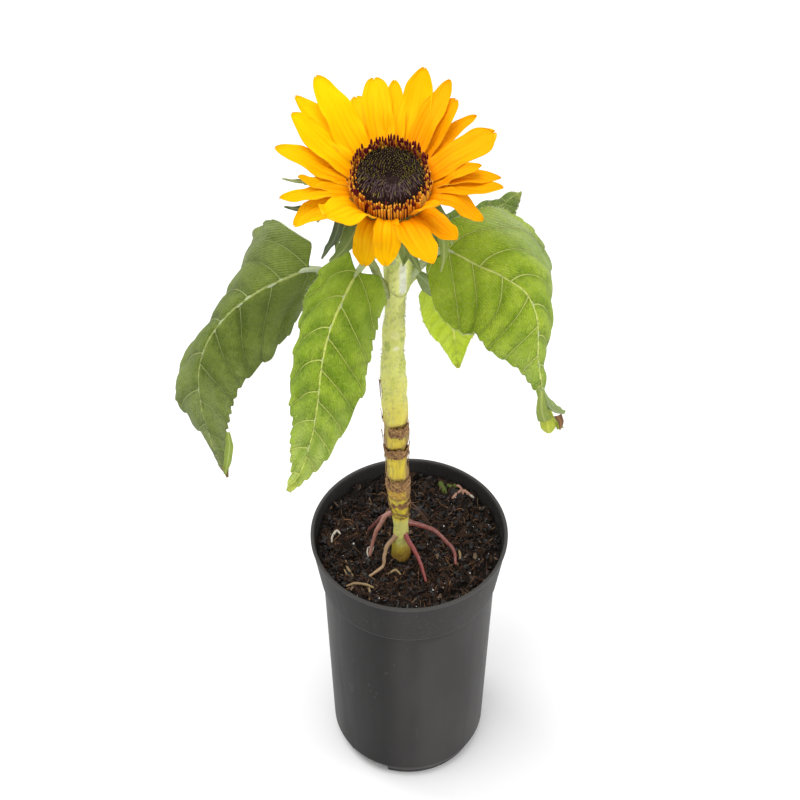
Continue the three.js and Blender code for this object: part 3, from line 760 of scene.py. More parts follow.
# Torn dry sheaths on the stem, with ragged edges that stand off it.
def sheathShape(low, high, first, last, lift, seed):
    columns, rows = max(int((last - first) / 2), 9), 12
    angle = np.radians(np.linspace(first, last, columns))[None]
    share = np.linspace(0, 1, rows)[:, None]
    around = np.stack([angle * stem["girth"], 0 * angle], -1)
    top = high + 1.0 * ripple(around, 5, seed) + 0.5 * ripple(around, 1.8, seed + 3)
    foot = low + 0.9 * ripple(around, 6, seed + 1) + 0.4 * ripple(around, 2, seed + 4)
    z = foot + (top - foot) * share
    middle, radius = stemAt(stemShare(z))
    flare = 0.3 + lift * (0.1 + share ** 2 * (0.5 + 0.4 * ripple(around, 4, seed + 2)))
    out = np.stack([np.cos(angle + 0 * z), np.sin(angle + 0 * z), 0 * z], -1)
    middle = middle + out * (radius + flare)[..., None]
    return sheet(middle[::-1], np.full(z.shape, 0.22), np.stack([angle * stem["girth"] + 0 * z, z], -1))


def sheathLook(name, tint, dark, share):
    look = Look("sheath " + name)
    around, along = look.plan()
    blotch = look.noise(look.vector(around, along), 2.4)
    threads = look.noise(look.vector(around * 1.4, along / 3), 0.8)
    specks = look.noise(look.vector(around, along / 1.5), 1.1)
    color = look.coats(
        tint,
        (dark, smooth(0.42, 0.62, blotch)),
        (dark, smooth(0.55, 0.7, threads) * 0.5),
        ((0.66, 0.48, 0.16), smooth(0.52, 0.66, specks) * 0.65),
    )
    return look.surface(color, 0.75, 0.3 * threads + 0.3 * blotch, (share, tint), 0.2)


# Foot, top, first and last angle, how far it flares, and its look
sheaths = [
    (298, 305, 238, 366, 0.3, "brown"), (280, 286.5, 172, 372, 0.3, "brown"),
    (251, 259, 176, 366, 0.25, "brown"), (235, 239, 176, 368, 0.2, "brown"),
    (262, 278, 176, 192, 0.4, "cream"), (263, 278, 350, 366, 0.3, "brown"),
    (287, 298, 174, 192, 0.8, "brown"), (288, 296, 352, 370, 0.5, "brown"),
    (306, 315, 178, 196, 0.8, "brown"), (325, 337, 178, 196, 1.1, "brown"),
    (222, 234, 178, 200, 0.3, "brown"), (218, 233, 344, 366, 0.3, "brown"),
]
sheathLooks = {
    "brown": sheathLook("brown", (0.36, 0.19, 0.075), (0.11, 0.045, 0.03), 0.15),
    "cream": sheathLook("cream", (0.72, 0.58, 0.26), (0.34, 0.18, 0.07), 0.4),
}


hairLook = plainLook("hair", (0.80, 0.82, 0.62), 0.6, (0.3, (0.9, 0.9, 0.7)))


def hairs(feet, ways, lengths, radius):
    return studs(feet, ways, lengths, radius, [(0, 1)], 3)


def stemHairs(rng):
    form = stem["hairs"]
    count = form["count"]
    height = mix(form["from"], form["to"], rng.uniform(0, 1, count) ** 0.75)
    centre, radius = stemAt(stemShare(height))
    angle = rng.uniform(0, turn, count)
    out = np.stack([np.cos(angle), np.sin(angle), np.zeros(count)], -1)
    ways = out + rng.normal(0, 0.35, (count, 3))
    feet = centre + out * (radius - form["sunk"])[:, None]
    return hairs(feet, ways, rng.uniform(*form["length"], count), form["radius"])


addPiece("stemSkin", stemShape(), [stemLook()], ["stem"])
addPiece("stemHairs", stemHairs(np.random.default_rng(5)), [hairLook])
for i, (*form, name) in enumerate(sheaths):
    addPiece(f"sheath_{i + 1}", sheathShape(*form, 300 + 5 * i), [sheathLooks[name]] * 2)
print("stem done")


# Roots that arch from the stem into the soil: path, colour, then radius at the stem and at the tip.
roots = {
    "right": ([[-3, -8, 214], [7, -6, 208], [15, -6, 203], [22, -9, 197], [27, -13, 192], [28, -20, 188]],
              (0.21, 0.055, 0.04), (1.7, 0.9)),
    "front": ([[-4, -11, 210], [0, -16, 204], [4, -20, 199], [7, -25, 194], [10, -33, 188]],
              (0.24, 0.045, 0.038), (1.75, 0.8)),
    "tan": ([[-7, -12, 207], [-13, -15, 200], [-15, -19, 195], [-16, -23, 190], [-24, -29, 188]],
            (0.33, 0.20, 0.10), (1.5, 0.8)),
    "left": ([[-8, -8, 224], [-14, -6, 217], [-19, -7, 206], [-22, -9, 196], [-24, -13, 188]],
             (0.36, 0.16, 0.12), (1.7, 0.9)),
    "back": ([[-7, -6, 220], [-15, -1, 211], [-20, 3, 200], [-25, 7, 188]], (0.20, 0.07, 0.06), (1.6, 0.9)),
}
rootHairs = {
    "radius": 0.28,
    "steps": 30,
    "paths": [
        [(0, -8, 232), (5, -5, 222), (9, 1, 206), (12.9, 8, 192), (14, 13.5, 186.5)],
        [(1, -7, 226), (8, -2, 214), (16, 6, 187)],
        [(-10, -12, 233), (-6, -17.4, 231), (-1, -16.8, 229), (0.8, -13, 227)],
        [(-11, -8, 228), (-14, -3, 214), (-15, 4, 187)],
    ],
}


def rootShape(path, radii, seed):
    t = np.linspace(0, 1, 60)
    line = spline(path, t)
    sway = 0.14 * np.stack([ripple(line, 9, seed + i) for i in range(3)], -1)
    line = line + sway * (t * (1 - t) * 4)[:, None]
    return tube(line, mix(*radii, t) + 0.06 * ripple(line, 4, seed + 5) + 0.9 * smooth(0.12, 0, t), 18)


def rootLook(name, tint):
    look = Look("root " + name)
    *_, z, at = look.place()
    mottle = look.noise(at, 3)
    pale = tuple(mix(value, 0.5, 0.16) for value in tint)
    # Darker towards where the roots meet the soil.
    nearSoil = smooth(190.5, 187, z + 3 * mottle)
    color = look.coats(tint, (pale, smooth(0.5, 0.75, mottle)), ((0.03, 0.018, 0.012), nearSoil * 0.8))
    return look.surface(color, 0.27, 0.2 * mottle)


for i, (name, (path, tint, radii)) in enumerate(roots.items()):
    shape = rootShape(path, radii, 40 + 7 * i)
    addPiece("arch_" + name, shape, [rootLook(name, tint)], ["root_" + name])
hairPaths = np.stack([spline(path, np.linspace(0, 1, rootHairs["steps"])) for path in rootHairs["paths"]])
rootHair = plainLook("root hair", (0.12, 0.06, 0.035), 0.6)
addPiece("rootHairs", strands(hairPaths, rootHairs["radius"], 6), [rootHair])
print("roots done")


# Flower head: x to the plant's right, y to the back, z out of the disc from its rim.
head = {"centre": (-10.4, -20.65, 482.6), "elevation": 78}


def tilted(elevation):
    lean = math.radians(90 - elevation)
    c, s = math.cos(lean), math.sin(lean)
    return np.array([[1, 0, 0], [0, c, -s], [0, s, c]])


def atHead(points):
    return points @ tilted(head["elevation"]).T + head["centre"]


# Azimuth, length, width, lift, sag, swing and whorl as in the CAD, then the kind of tip.
rays = [
    (-3, 36, 10, 36, 39, 0, 1, "point"), (4, 35, 9, 31, 36, 1, 0, "point"), (5, 28, 9, 44, 17, 1, 1, "point"),
    (22, 39, 16, 33, 14, 3, 0, "teeth"), (44, 41, 8, 38, 38, 0, 1, "point"),
    (51, 38, 11, 42, 17, 4, 1, "blunt"), (59, 44, 12, 44, 20, 2, 0, "point"),
    (71, 46, 17, 46, 14, 6, 1, "point"), (86, 40, 11, 45, 33, 6, 0, "point"),
    (99, 40, 14.5, 48, 31, -2, 0, "blunt"), (109, 39, 11, 34, 34, -5, 1, "blunt"),
    (129, 48, 17, 41, 7, -3, 0, "point"), (136, 48, 12, 44, 27, 5, 1, "point"),
    (153, 42, 15, 40, 7, -2, 0, "point"), (168, 40, 13, 29, 10, -2, 0, "point"),
    (184, 28, 8, 34, 8, 0, 1, "point"), (191, 35, 9, 29, 29, 1, 0, "point"),
    (200, 32, 13, 28, 54, 1, 1, "point"), (232, 37, 20, 60, 26, -2, 0, "teeth"),
    (248, 28, 13.5, 34, 120, 0, 1, "point"), (267, 26, 13.5, 44, 113, -3, 0, "point"),
    (289, 37, 15.5, 46, 46, 8, 1, "point"), (306, 36, 9, 57, 1, 1, 0, "point"),
    (313, 27, 13, 34, 35, 1, 1, "point"), (344, 31, 12, 32, 71, 2, 0, "point"),
]
petal = {
    "startRadius": 20,
    "heights": (-2.5, -4.7),
    "outline": (0.70, 0.86, 0.95, 1, 1, 1, 1, 1),
    "ends": {"point": (0.42, 2.3, 0.62), "blunt": (0.55, 2.8, 0.5), "teeth": (0.6, 3, 0.45)},
    "cup": 0.06,
    "rows": 72,
    "columns": 25,
    "thickness": 0.34,
    "groove": (0.36, 0.55, 1.3),  # place across, depth and reach
    # Tints by azimuth are partly the petals' own spread of colour and partly painted light: lit and shaded
    # copies of one petal colour for petals that face the light differently.
    "tonesWithPaintedLight": {65: "amber", 120: "clear", 160: "bright", 240: "golden", 280: "deep", 360: "amber"},
}
# Colours at the tip, towards the foot and in the grooves. Back is the under side; the others are partly lit
# and shaded copies of one petal colour.
petalTints = {
    "clear": ((0.98, 0.55, 0.0), (0.97, 0.45, 0.0), (0.88, 0.31, 0.0)),
    "amber": ((0.93, 0.44, 0.0), (0.92, 0.35, 0.0), (0.80, 0.22, 0.0)),
    "bright": ((0.98, 0.645, 0.0), (0.98, 0.53, 0.0), (0.90, 0.36, 0.0)),
    "golden": ((0.95, 0.545, 0.0), (0.95, 0.42, 0.0), (0.84, 0.26, 0.0)),
    "deep": ((0.97, 0.60, 0.0), (0.97, 0.46, 0.0), (0.86, 0.29, 0.0)),
    "back": ((0.95, 0.55, 0.01), (0.80, 0.50, 0.03), (0.60, 0.42, 0.04)),
}


def ringOut(angle, out, up):
    return np.stack([np.cos(angle) * out, np.sin(angle) * out, up + 0 * angle], -1)


# The middle of a blade that leaves the head's centre at an azimuth, lifts, then sags.
def bladeLines(azimuth, length, lift, sag, swing, startRadius, height, t, count=24):
    s = (np.arange(count) + 0.5) / count
    angle = np.radians(lift - sag * (1 - (1 - s) ** 2.5))
    way = np.radians(azimuth + swing * s)
    steps = ringOut(way, np.cos(angle), np.sin(angle)) * (length / count)
    first = np.radians(azimuth)
    start = [startRadius * math.cos(first), startRadius * math.sin(first), height]
    spine = np.concatenate([[start], start + np.cumsum(steps, axis=0)])
    forward = unit(spline(spine, t, slope=True))
    way = np.radians(azimuth + swing * t)
    side = np.stack([np.sin(way), -np.cos(way), np.zeros_like(way)], -1)
    return spline(spine, t), forward, side, np.cross(side, forward)


def petalShape(ray, seed):
    azimuth, length, width, lift, sag, swing, whorl, tip = ray
    rng = np.random.default_rng(seed)
    rows, columns = petal["rows"], petal["columns"]
    t = np.linspace(0, 1, rows) ** 0.92
    u = np.sin(np.linspace(-1, 1, columns) * 1.25) / math.sin(1.25)
    line, forward, side, normal = bladeLines(azimuth, length, lift, sag, swing, petal["startRadius"],
                                             petal["heights"][whorl], t)
    begin, turnIn, power = petal["ends"][tip]
    end = np.clip((t - begin) / (1 - begin), 0, 0.995) ** turnIn
    half = spline(petal["outline"], t) * width / 2 * (1 - end) ** power
    t, u = t[:, None], u[None]
    half = half[:, None]
    bumps = rng.uniform(0, turn, 4)
    edge = 0.05 * np.sin(t * 9 + bumps[0] + 2 * u) + 0.03 * np.sin(t * 21 + bumps[1] - 3 * u)
    half = half * (1 + edge * smooth(0.1, 0.35, t))
    across = u * half
    cup = u ** 2 * width * petal["cup"]
    span, depth, reach = petal["groove"]
    reach = reach * (0.5 + width / 26)
    groove = sum(np.exp(-((across - hand * span * half) / reach) ** 2) for hand in (-1, 1))
    ribs = 0.10 * np.sin(u * 15 + 1.5 * np.sin(t * 5 + bumps[2]))
    wave = (np.abs(u) ** 2) * (0.8 * np.sin(t * 8 + bumps[3] + u) + 0.5 * np.sin(t * 17 + bumps[0] + 2.5 * u))
    bend = 1.1 * np.sin(t * 6.5 + bumps[1]) * smooth(0.1, 0.5, t)
    fade = smooth(0, 0.2, t)
    wave = wave * fade * smooth(0.02, 0.4, 1.06 - t)
    rise = cup - depth * groove * (1 - 0.45 * t) + ribs * fade + wave + bend
    shift = {"point": 0.9 * np.exp(-((u - 0.3) / 0.3) ** 2), "blunt": 1.1 * np.exp(-((u + 0.15) / 0.25) ** 2),
             "teeth": 0.8 - 0.8 * np.cos(u * turn * 1.4)}[tip]
    shift = -shift * smooth(0.8, 1, t)
    points = (line[:, None] + side[:, None] * across[..., None] + normal[:, None] * rise[..., None]
              + forward[:, None] * shift[..., None])
    plan = np.stack([u + 0 * t, t * length / 40 + 0 * u], -1)
    thin = np.broadcast_to(petal["thickness"] * (1.25 - 0.6 * t), across.shape)
    return sheet(atHead(points), thin, plan)


def petalLook(name, tip, root, deep):
    look = Look("petal " + name)
    u, along = look.plan()
    x, y, *_ = look.place()
    lines = look.noise(look.vector(u * 9, along * 1.1, x / 30), 1)
    hair = look.noise(look.vector(u * 26, along * 2, y / 30), 1, 2)
    base = smooth(0.62, 0.02, along + 0.25 * (lines - 0.5))
    grooves = smooth(0.16, 0.0, abs(abs(u) - petal["groove"][0])) * smooth(0.9, 0.1, along)
    threads = smooth(0.45, 0.98, sine(u * 19 + 3 * lines)) * smooth(1.0, 0.25, along)
    color = look.coats(
        tip,
        (root, base * 0.75),
        (deep, grooves * (0.35 + 0.5 * base)),
        (deep, threads * 0.38),
        (root, smooth(0.48, 0.7, lines) * 0.4),
        (tip, smooth(0.5, 0.75, hair) * 0.3),
        (deep, smooth(0.14, 0.0, along) * 0.7),
    )
    return look.surface(color, 0.6, 0.22 * lines + 0.12 * hair, (0.30, tip), 0.06)


petalLooks = {name: petalLook(name, *tints) for name, tints in petalTints.items()}
for i, ray in enumerate(rays):
    name = f"{i + 1:02d}"
    tone = next(tone for end, tone in petal["tonesWithPaintedLight"].items() if ray[0] < end)
    looks = [petalLooks[tone], petalLooks["back"]]
    addPiece("petal_" + name, petalShape(ray, 60 + i), looks, ["ray_" + name])
print("petals done")


# Disc: a dome of buds inside rings of tubular florets
disc = {
    "core": [
        (0, -6.8), (17, -6.8), (18.6, -5), (18.7, 1), (18.0, 5.5), (16.4, 7.6), (12, 8), (7, 7.2),
        (3, 6), (0, 5.6),
    ],
    "buds": 900,
    "eye": (1.5, -4.5),
    "reach": 18.0,
    "golden": 2.399963,  # the golden angle
    "seams": 112,  # maroon florets between the rings
    "spike": [(0, 0.7), (0.35, 1), (0.7, 0.62), (0.93, 0.22)],
    "bud": [(0, 0.8), (0.4, 1), (0.8, 0.7), (0.96, 0.3)],
    "pipe": [(0, 0.6), (0.25, 0.75), (0.6, 1), (0.86, 1.0), (0.96, 0.75)],
    "anther": [(0, 0.8), (0.3, 1), (0.7, 0.8), (0.92, 0.35)],
}
# Florets of each ring. Those behind are longer by a length and those in front shorter by a share. Pale
# and open are the shares that are amber and that show their anthers.
floretRings = {
    "Outer": {"count": 86, "radius": 19.3, "foot": -4.6, "length": 9.4, "lean": 0.03, "thick": 0.60,
              "behind": 2.2, "front": 1, "pale": 0.8, "open": 0.25, "openInFront": 0.7},
    "Middle": {"count": 82, "radius": 18.3, "foot": 0.5, "length": 8.2, "lean": 0.02, "thick": 0.56,
               "behind": 1.6, "front": 0.86, "pale": 0.4, "open": 0.6, "openInFront": 0.35},
    "Inner": {"count": 66, "radius": 17.1, "foot": 3, "length": 6.2, "lean": -0.10, "thick": 0.52,
              "behind": 0.4, "front": 0.62, "pale": 0.1, "open": 0.45, "openInFront": 0.2},
}
# Colour, roughness, light let through and specular level
discLooks = {name: plainLook(name, *form) for name, form in {
    "disc core": ((0.018, 0.009, 0.008), 0.8, None, 0.08),
    "bud dark": ((0.020, 0.009, 0.008), 0.6, None, 0.08),
    "chaff purple": ((0.15, 0.10, 0.105), 0.6, None, 0.08),
    "chaff olive": ((0.27, 0.23, 0.045), 0.7, None, 0.08),
    "chaff straw": ((0.26, 0.18, 0.08), 0.7, None, 0.08),
    "floret amber": ((0.88, 0.46, 0.04), 0.6, (0.2, (1, 0.5, 0.02)), 0.2),
    "floret orange": ((0.62, 0.25, 0.02), 0.6, (0.15, (1, 0.4, 0.02)), 0.2),
    "anther maroon": ((0.115, 0.009, 0.016), 0.7, None, 0.1),
}.items()}


def addDisc(name, shape, look, replaced=()):
    addPiece("disc" + name, shape, [discLooks[look]], replaced)


def discCore():
    shape = lathe(rounded(disc["core"], 1.5), 96)
    shape.points = atHead(shape.points)
    return shape


def domeHeight(radius):
    top = disc["core"][:3:-1]
    return np.interp(radius, [r for r, _ in top], [z for _, z in top])


def headStuds(feet, ways, *rest):
    return studs(atHead(feet), ways @ tilted(head["elevation"]).T, *rest)


# The buds and chaff of the dome, coarser and shorter behind, where they are seen end on.
def chaff(rng):
    count = disc["buds"]
    share = np.sqrt((np.arange(count) + 0.5) / count)
    angle = np.arange(count) * disc["golden"]
    front = -np.sin(angle)
    fine = smooth(-0.35, 0.4, front)
    lean = mix(0.15, 0.62, smooth(0, 0.35, share)) * mix(0.35, 1, fine) + rng.normal(0, 0.10, count)
    ways = ringOut(angle, -np.sin(lean), np.cos(lean)) + rng.normal(0, 0.05, (count, 3))
    length = mix(2.0, 4.6, smooth(0.05, 0.6, share)) * rng.uniform(0.85, 1.15, count) * mix(0.5, 1, fine)
    feet = ringOut(angle, disc["reach"] * share, 0)
    feet[:, :2] += np.array(disc["eye"]) * (1 - share ** 2)[:, None]
    feet[:, 2] = domeHeight(np.hypot(feet[:, 0], feet[:, 1])) - 0.6 - 0.9 * smooth(0.3, 0, share)
    purpleShare = mix(0.2, 0.9, smooth(-0.4, 0.5, front)) * mix(1.0, 0.7, smooth(0.75, 1, share))
    purple = rng.uniform(0, 1, count) < purpleShare
    straw = ~purple & (rng.uniform(0, 1, count) < 0.30)
    shown = rng.uniform(0, 1, count) < mix(0.15, 1, smooth(0.12, 0.42, share))
    for name, picked in {"Purple": purple, "Olive": ~purple & ~straw, "Straw": straw}.items():
        chosen = picked & shown
        width = rng.uniform(0.17, 0.27, chosen.sum()) * mix(1.45, 1, fine[chosen])
        spikes = headStuds(feet[chosen], ways[chosen], length[chosen], width, disc["spike"], 5)
        addDisc("Chaff" + name, spikes, "chaff " + name.lower())
    nearby = feet + rng.normal(0, 0.25, feet.shape)
    buds = headStuds(nearby, ways + rng.normal(0, 0.08, ways.shape), length * 0.8, 0.44, disc["bud"], 6)
    addDisc("Buds", buds, "bud dark")


def florets(rng):
    anthers, pipes = [], {"Amber": [], "Orange": []}
    for ring in floretRings.values():
        count = ring["count"]
        angle = (np.arange(count) + rng.uniform(-0.25, 0.25, count)) * turn / count
        radius = ring["radius"] + rng.uniform(-0.25, 0.25, count)
        feet = ringOut(angle, radius, ring["foot"] + rng.uniform(-0.5, 0.5, count))
        lean = ring["lean"] + rng.normal(0, 0.07, count)
        ways = ringOut(angle, np.sin(lean), np.cos(lean))
        front, behind = smooth(-0.1, 0.7, -np.sin(angle)), smooth(0, 0.7, np.sin(angle))
        length = ring["length"] * rng.uniform(0.82, 1.12, count) + ring["behind"] * behind
        length = length * mix(1, ring["front"], front)
        thick = ring["thick"] * rng.uniform(0.85, 1.15, count) * (1 + 0.25 * behind)
        pale = rng.uniform(0, 1, count) < ring["pale"]
        for name, chosen in (("Amber", pale), ("Orange", ~pale)):
            form = [values[chosen] for values in (feet, ways, length, thick)]
            pipes[name].append(headStuds(*form, disc["pipe"], 9))
        share = mix(ring["open"], min(1, ring["open"] + 0.35), behind) * mix(1, ring["openInFront"], front)
        shown = rng.uniform(0, 1, count) < share
        tops = (feet + ways * (length[:, None] - 1.4))[shown]
        long = rng.uniform(2.6, 4.6, shown.sum()) + 1.4 * behind[shown]
        broad = rng.uniform(0.38, 0.56, shown.sum()) * (1 + 0.3 * behind[shown])
        anthers.append(headStuds(tops, ways[shown], long, broad, disc["anther"], 7))
    count = disc["seams"]
    angle = (np.arange(count) + rng.uniform(-0.2, 0.2, count)) * turn / count
    anthers.append(headStuds(ringOut(angle, 19.0, rng.uniform(-4.5, 0, count)), ringOut(angle, 0.02, 1.0),
                             rng.uniform(6, 8.5, count), 0.5, disc["pipe"], 6))
    for name, shapes in pipes.items():
        addDisc("Florets" + name, join(shapes), "floret " + name.lower())
    addDisc("Anthers", join(anthers), "anther maroon")


addDisc("Dome", discCore(), "disc core", ["disc"])
discDraws = np.random.default_rng(9)
chaff(discDraws)
florets(discDraws)
print("disc done")


# Calyx: a bowl that narrows to the stem, and bracts that hang in front and stand out behind.
calyx = {
    "bowl": [
        (0, -24), (5.4, -24), (8, -21), (15, -16.5), (20.5, -11.3), (21.5, -9.3), (20.5, -7.3), (0, -6.6),
    ],
    "corner": 1.6,
    "count": 14,
    "firstAzimuth": 4,
    "outline": (1, 1, 0.95, 0.8, 0.5, 0.2, 0.05),
    "startRadius": 17.5,
    "height": -9.3,
    # Turn in steps, length, its rhythm, width, how far even and odd ones sit lower, droop and first seed
    "whorls": [(0, 29, 2.4, 7.5, (0, 0.3), 0, 80), (0.5, 21, 1.7, 6.2, (1.2, 1.2), 6, 120)],
}


def bractShape(azimuth, length, width, height, droop, seed):
    front = (1 - math.sin(math.radians(azimuth))) / 2
    lift, sag = mix(18, -33, front) - droop, mix(20, 70, front)
    t = np.linspace(0, 1, 40)
    u = np.linspace(-1, 1, 13)[None]
    line, _, side, normal = bladeLines(azimuth, length, lift, sag, 0, calyx["startRadius"], height, t)
    across = u * (np.maximum(spline(calyx["outline"], t), 0.03) * width / 2)[:, None]
    t = t[:, None]
    waves = 0.5 * u ** 2 * np.sin(t * 9 + np.random.default_rng(seed).uniform(0, turn))
    rise = u ** 2 * width * 0.1 + waves - 0.35 * np.exp(-(across / 0.5) ** 2)
    points = line[:, None] + side[:, None] * across[..., None] + normal[:, None] * rise[..., None]
    return sheet(atHead(points), np.full(across.shape, 0.5), np.stack([across, t * length + 0 * u], -1))


def bractLook(name, tint, pale):
    look = Look("bract " + name)
    across, along = look.plan()
    fine = look.noise(look.vector(across * 2.2, along / 3), 1)
    rib = smooth(0.7, 0.1, abs(across))
    color = look.coats(tint, (pale, smooth(0.45, 0.75, fine) * 0.5), (pale, rib * 0.6))
    return look.surface(color, 0.6, 0.2 * fine, (0.22, pale), sheen=0.05)


def bowlLook():
    look = Look("calyx bowl")
    *_, at = look.place()
    fine = look.noise(at, 1.4)
    color = look.coats(
        (0.20, 0.32, 0.06),
        ((0.42, 0.52, 0.16), smooth(0.4, 0.7, look.noise(at, 8, 2, 0.5))),
        ((0.6, 0.66, 0.32), smooth(0.55, 0.7, fine) * 0.4),
    )
    return look.surface(color, 0.6, 0.3 * fine, sheen=0.2)


def calyxPieces():
    bowl = lathe(rounded(calyx["bowl"], calyx["corner"]), 96)
    bowl.points = atHead(bowl.points)
    addPiece("calyxBowl", bowl, [bowlLook()], ["calyx"])
    bracts = []
    for shift, length, rhythm, width, lower, droop, seed in calyx["whorls"]:
        for i in range(calyx["count"]):
            azimuth = calyx["firstAzimuth"] + (i + shift) * 360 / calyx["count"]
            long, height = length + 3 * math.sin(i * rhythm), calyx["height"] - lower[i % 2]
            bracts.append(bractShape(azimuth, long, width, height, droop, seed + i))
    top = bractLook("upper", (0.15, 0.21, 0.022), (0.34, 0.42, 0.09))
    under = bractLook("under", (0.22, 0.31, 0.06), (0.45, 0.55, 0.22))
    addPiece("calyxBracts", join(bracts), [top, under])


calyxPieces()
print("calyx done")


# Leaves, as in the CAD: half widths in eighths of the rib, and how far each half turns down in degrees.
# The painted sheen of the whitish hairs, partly their own colour and partly light they catch, has a share at
# the left and right margins and at the tip, and a tint of its own. Glow is the light let through.
calmForm = {
    "left": (15, 15, 15),
    "right": (15, 15, 15),
    "teeth": 0.9,
    "veins": {"left": (0.5, 0.02), "right": (0.5, 0.02)},
    "paintedSheen": (0.05, 0.05, 0.15),
    "paintedSheenTint": (0.40, 0.46, 0.24),
}
leaves = {
    "left": {
        "stalk": [(-9, -8, 396), (-22, -5, 400), (-38, -3, 407)],
        "rib": [(-53, -2, 411), (-68, 0, 401), (-84, 0, 390), (-101, -2, 373), (-112, -10, 356),
                (-114, -24, 341), (-109, -38, 322), (-100, -50, 301)],
        "face": (0, -0.6, 0.8),
        "half": (21, 33, 36, 35, 32, 27, 18, 8, 1),
        "left": (-20, 38, 82, 50, 88),
        "right": (78, 66, 22, 12, 15),
        "lobes": (12, 16),
        "teeth": 0.8,
        "veins": {"left": (0.3, 0.02), "right": (0.9, 0.022)},
        "paintedSheen": (0.28, 0.1, 0.42),
        "paintedSheenTint": (0.30, 0.32, 0.19),
        "tint": (0.085, 0.118, 0.012),
        "pale": (0.17, 0.22, 0.035),
        "vein": (0.42, 0.48, 0.16),
        "under": (0.34, 0.42, 0.15),
        "dry": (0.22, 0.09, 0.04),
        "sheen": 0.08,
        "glow": 0.22,
    },
    "front": {
        "stalk": [(-8, -12, 426), (-14, -17, 434), (-20, -22, 437)],
        "rib": [(-27, -27, 431), (-34, -36, 421), (-41, -46, 408), (-45, -57, 395), (-47, -67, 381),
                (-50, -76, 365), (-55, -86, 351), (-63, -94, 340)],
        "face": (0, -0.6, 0.8),
        "half": (20, 23, 25, 25, 23, 18, 12, 6, 1),
        "left": (36, 46, 46, 30, 10),
        "right": (36, 34, 18, 12, 5),
        "lobes": (11, 4),
        "teeth": 0.8,
        "veins": {"left": (0.1, 0.036), "right": (0.75, 0.012)},
        "paintedSheen": (0.1, 0.25, 0.45),
        "paintedSheenTint": (0.58, 0.66, 0.22),
        "tint": (0.135, 0.24, 0.008),
        "pale": (0.34, 0.47, 0.03),
        "vein": (0.74, 0.8, 0.2),
        "under": (0.4, 0.5, 0.14),
        "dry": (0.5, 0.54, 0.1),
        "sheen": 0.02,
        "glow": 0.26,
    },
    "right": {
        "stalk": [(-4, -10, 410), (4, -11, 420), (11, -9, 427)],
        "rib": [(19, -8, 429), (34, -12, 422), (48, -16, 417), (60, -22, 410), (65, -32, 400), (65, -46, 389),
                (68, -62, 377), (76, -76, 368)],
        "face": (0, -0.6, 0.8),
        "half": (22, 32, 35, 35, 32, 26.5, 9, 1.6, 1),
        "left": (10, 20, 5, 14, 70),
        "right": (-5, 20, 66, 86, 60),
        "lobes": (10, 10),
        "teeth": 0.8,
        "veins": {"left": (0.72, 0.003), "right": (0.08, 0.03)},
        "paintedSheen": (0.0, 0.42, 0.3),
        "paintedSheenTint": (0.48, 0.53, 0.36),
        "tint": (0.22, 0.34, 0.01),
        "pale": (0.44, 0.57, 0.04),
        "vein": (0.76, 0.82, 0.24),
        "under": (0.4, 0.5, 0.14),
        "dry": (0.4, 0.46, 0.06),
        "sheen": 0.05,
        "glow": 0.28,
    },
    "behind": {
        "stalk": [(-5, -7, 402), (2, 0, 404), (7, 5, 400)],
        "rib": [(12, 10, 390), (19, 17, 372), (23, 23, 353), (25, 28, 332), (28, 36, 300)],
        "face": (0, 0.93, 0.3),
        "half": (6, 12, 15, 16, 15, 13, 9, 5, 1),
        "left": (25, 25, 25),
        "right": (25, 25, 25),
        "lobes": (5, 5),
        "teeth": 0.25,
        "veins": {"left": (1.1, 0.01), "right": (1.1, 0.01)},
        "paintedSheen": (0, 0, 0.2),
        # The tints below are pale and bright: partly the leaf's own yellow-green, partly painted light
        # shining through it from behind.
        "paintedSheenTint": (0.90, 0.92, 0.20),
        "passed": (0.74, 0.88, 0.18),
        "tint": (0.78, 0.84, 0.05),
        "pale": (0.94, 0.95, 0.16),
        "vein": (0.94, 0.95, 0.34),
        "under": (0.86, 0.92, 0.08),
        "dry": (0.35, 0.2, 0.06),
        "sheen": 0.02,
        "glow": 0.6,
    },
    "far": {
        "stalk": [(-5, -6, 416), (0, 1, 419), (5, 6, 417)],
        "rib": [(10, 12, 411), (24, 30, 407), (37, 47, 402), (50, 64, 398), (62, 80, 395)],
        "face": (0, 0, 1),
        "half": (10, 19, 24, 24, 20, 14, 9, 5, 1),
        **calmForm,
        "lobes": (6, 6),
        "tint": (0.07, 0.115, 0.008),
        "pale": (0.12, 0.18, 0.02),
        "vein": (0.42, 0.48, 0.14),
        "under": (0.36, 0.45, 0.15),
        "dry": (0.3, 0.34, 0.08),
        "sheen": 0.02,
        "glow": 0.2,
    },
    "back": {
        "stalk": [(-9, -6, 410), (-11, 1, 417), (-12, 6, 420)],
        "rib": [(-12, 12, 420), (-13, 33, 421), (-14, 53, 413), (-15, 70, 396), (-15, 82, 373)],
        "face": (0, 0.5, 0.87),
        "half": (10, 17, 21, 22, 21, 17, 12, 7, 1),
        **calmForm,
        "lobes": (7, 7),
        "tint": (0.17, 0.28, 0.02),
        "pale": (0.34, 0.46, 0.06),
        "vein": (0.62, 0.68, 0.24),
        "under": (0.38, 0.49, 0.14),
        "dry": (0.4, 0.45, 0.08),
        "sheen": 0.05,
        "glow": 0.26,
    },
}
blade = {
    "rows": 190, "columns": 66, "thickness": 0.55, "tooth": 1.3, "toothGap": 8.5, "wave": 1.7, "quilt": 1.3,
    "chord": 0.26, "passed": (0.55, 0.75, 0.05),
}
veinForm = {"fan": 26, "close": 0.3, "gap": 6.2, "offset": 0.3, "thin": 0.7}
marginForm = {"count": 900, "length": (0.8, 1.7), "radius": 0.05}


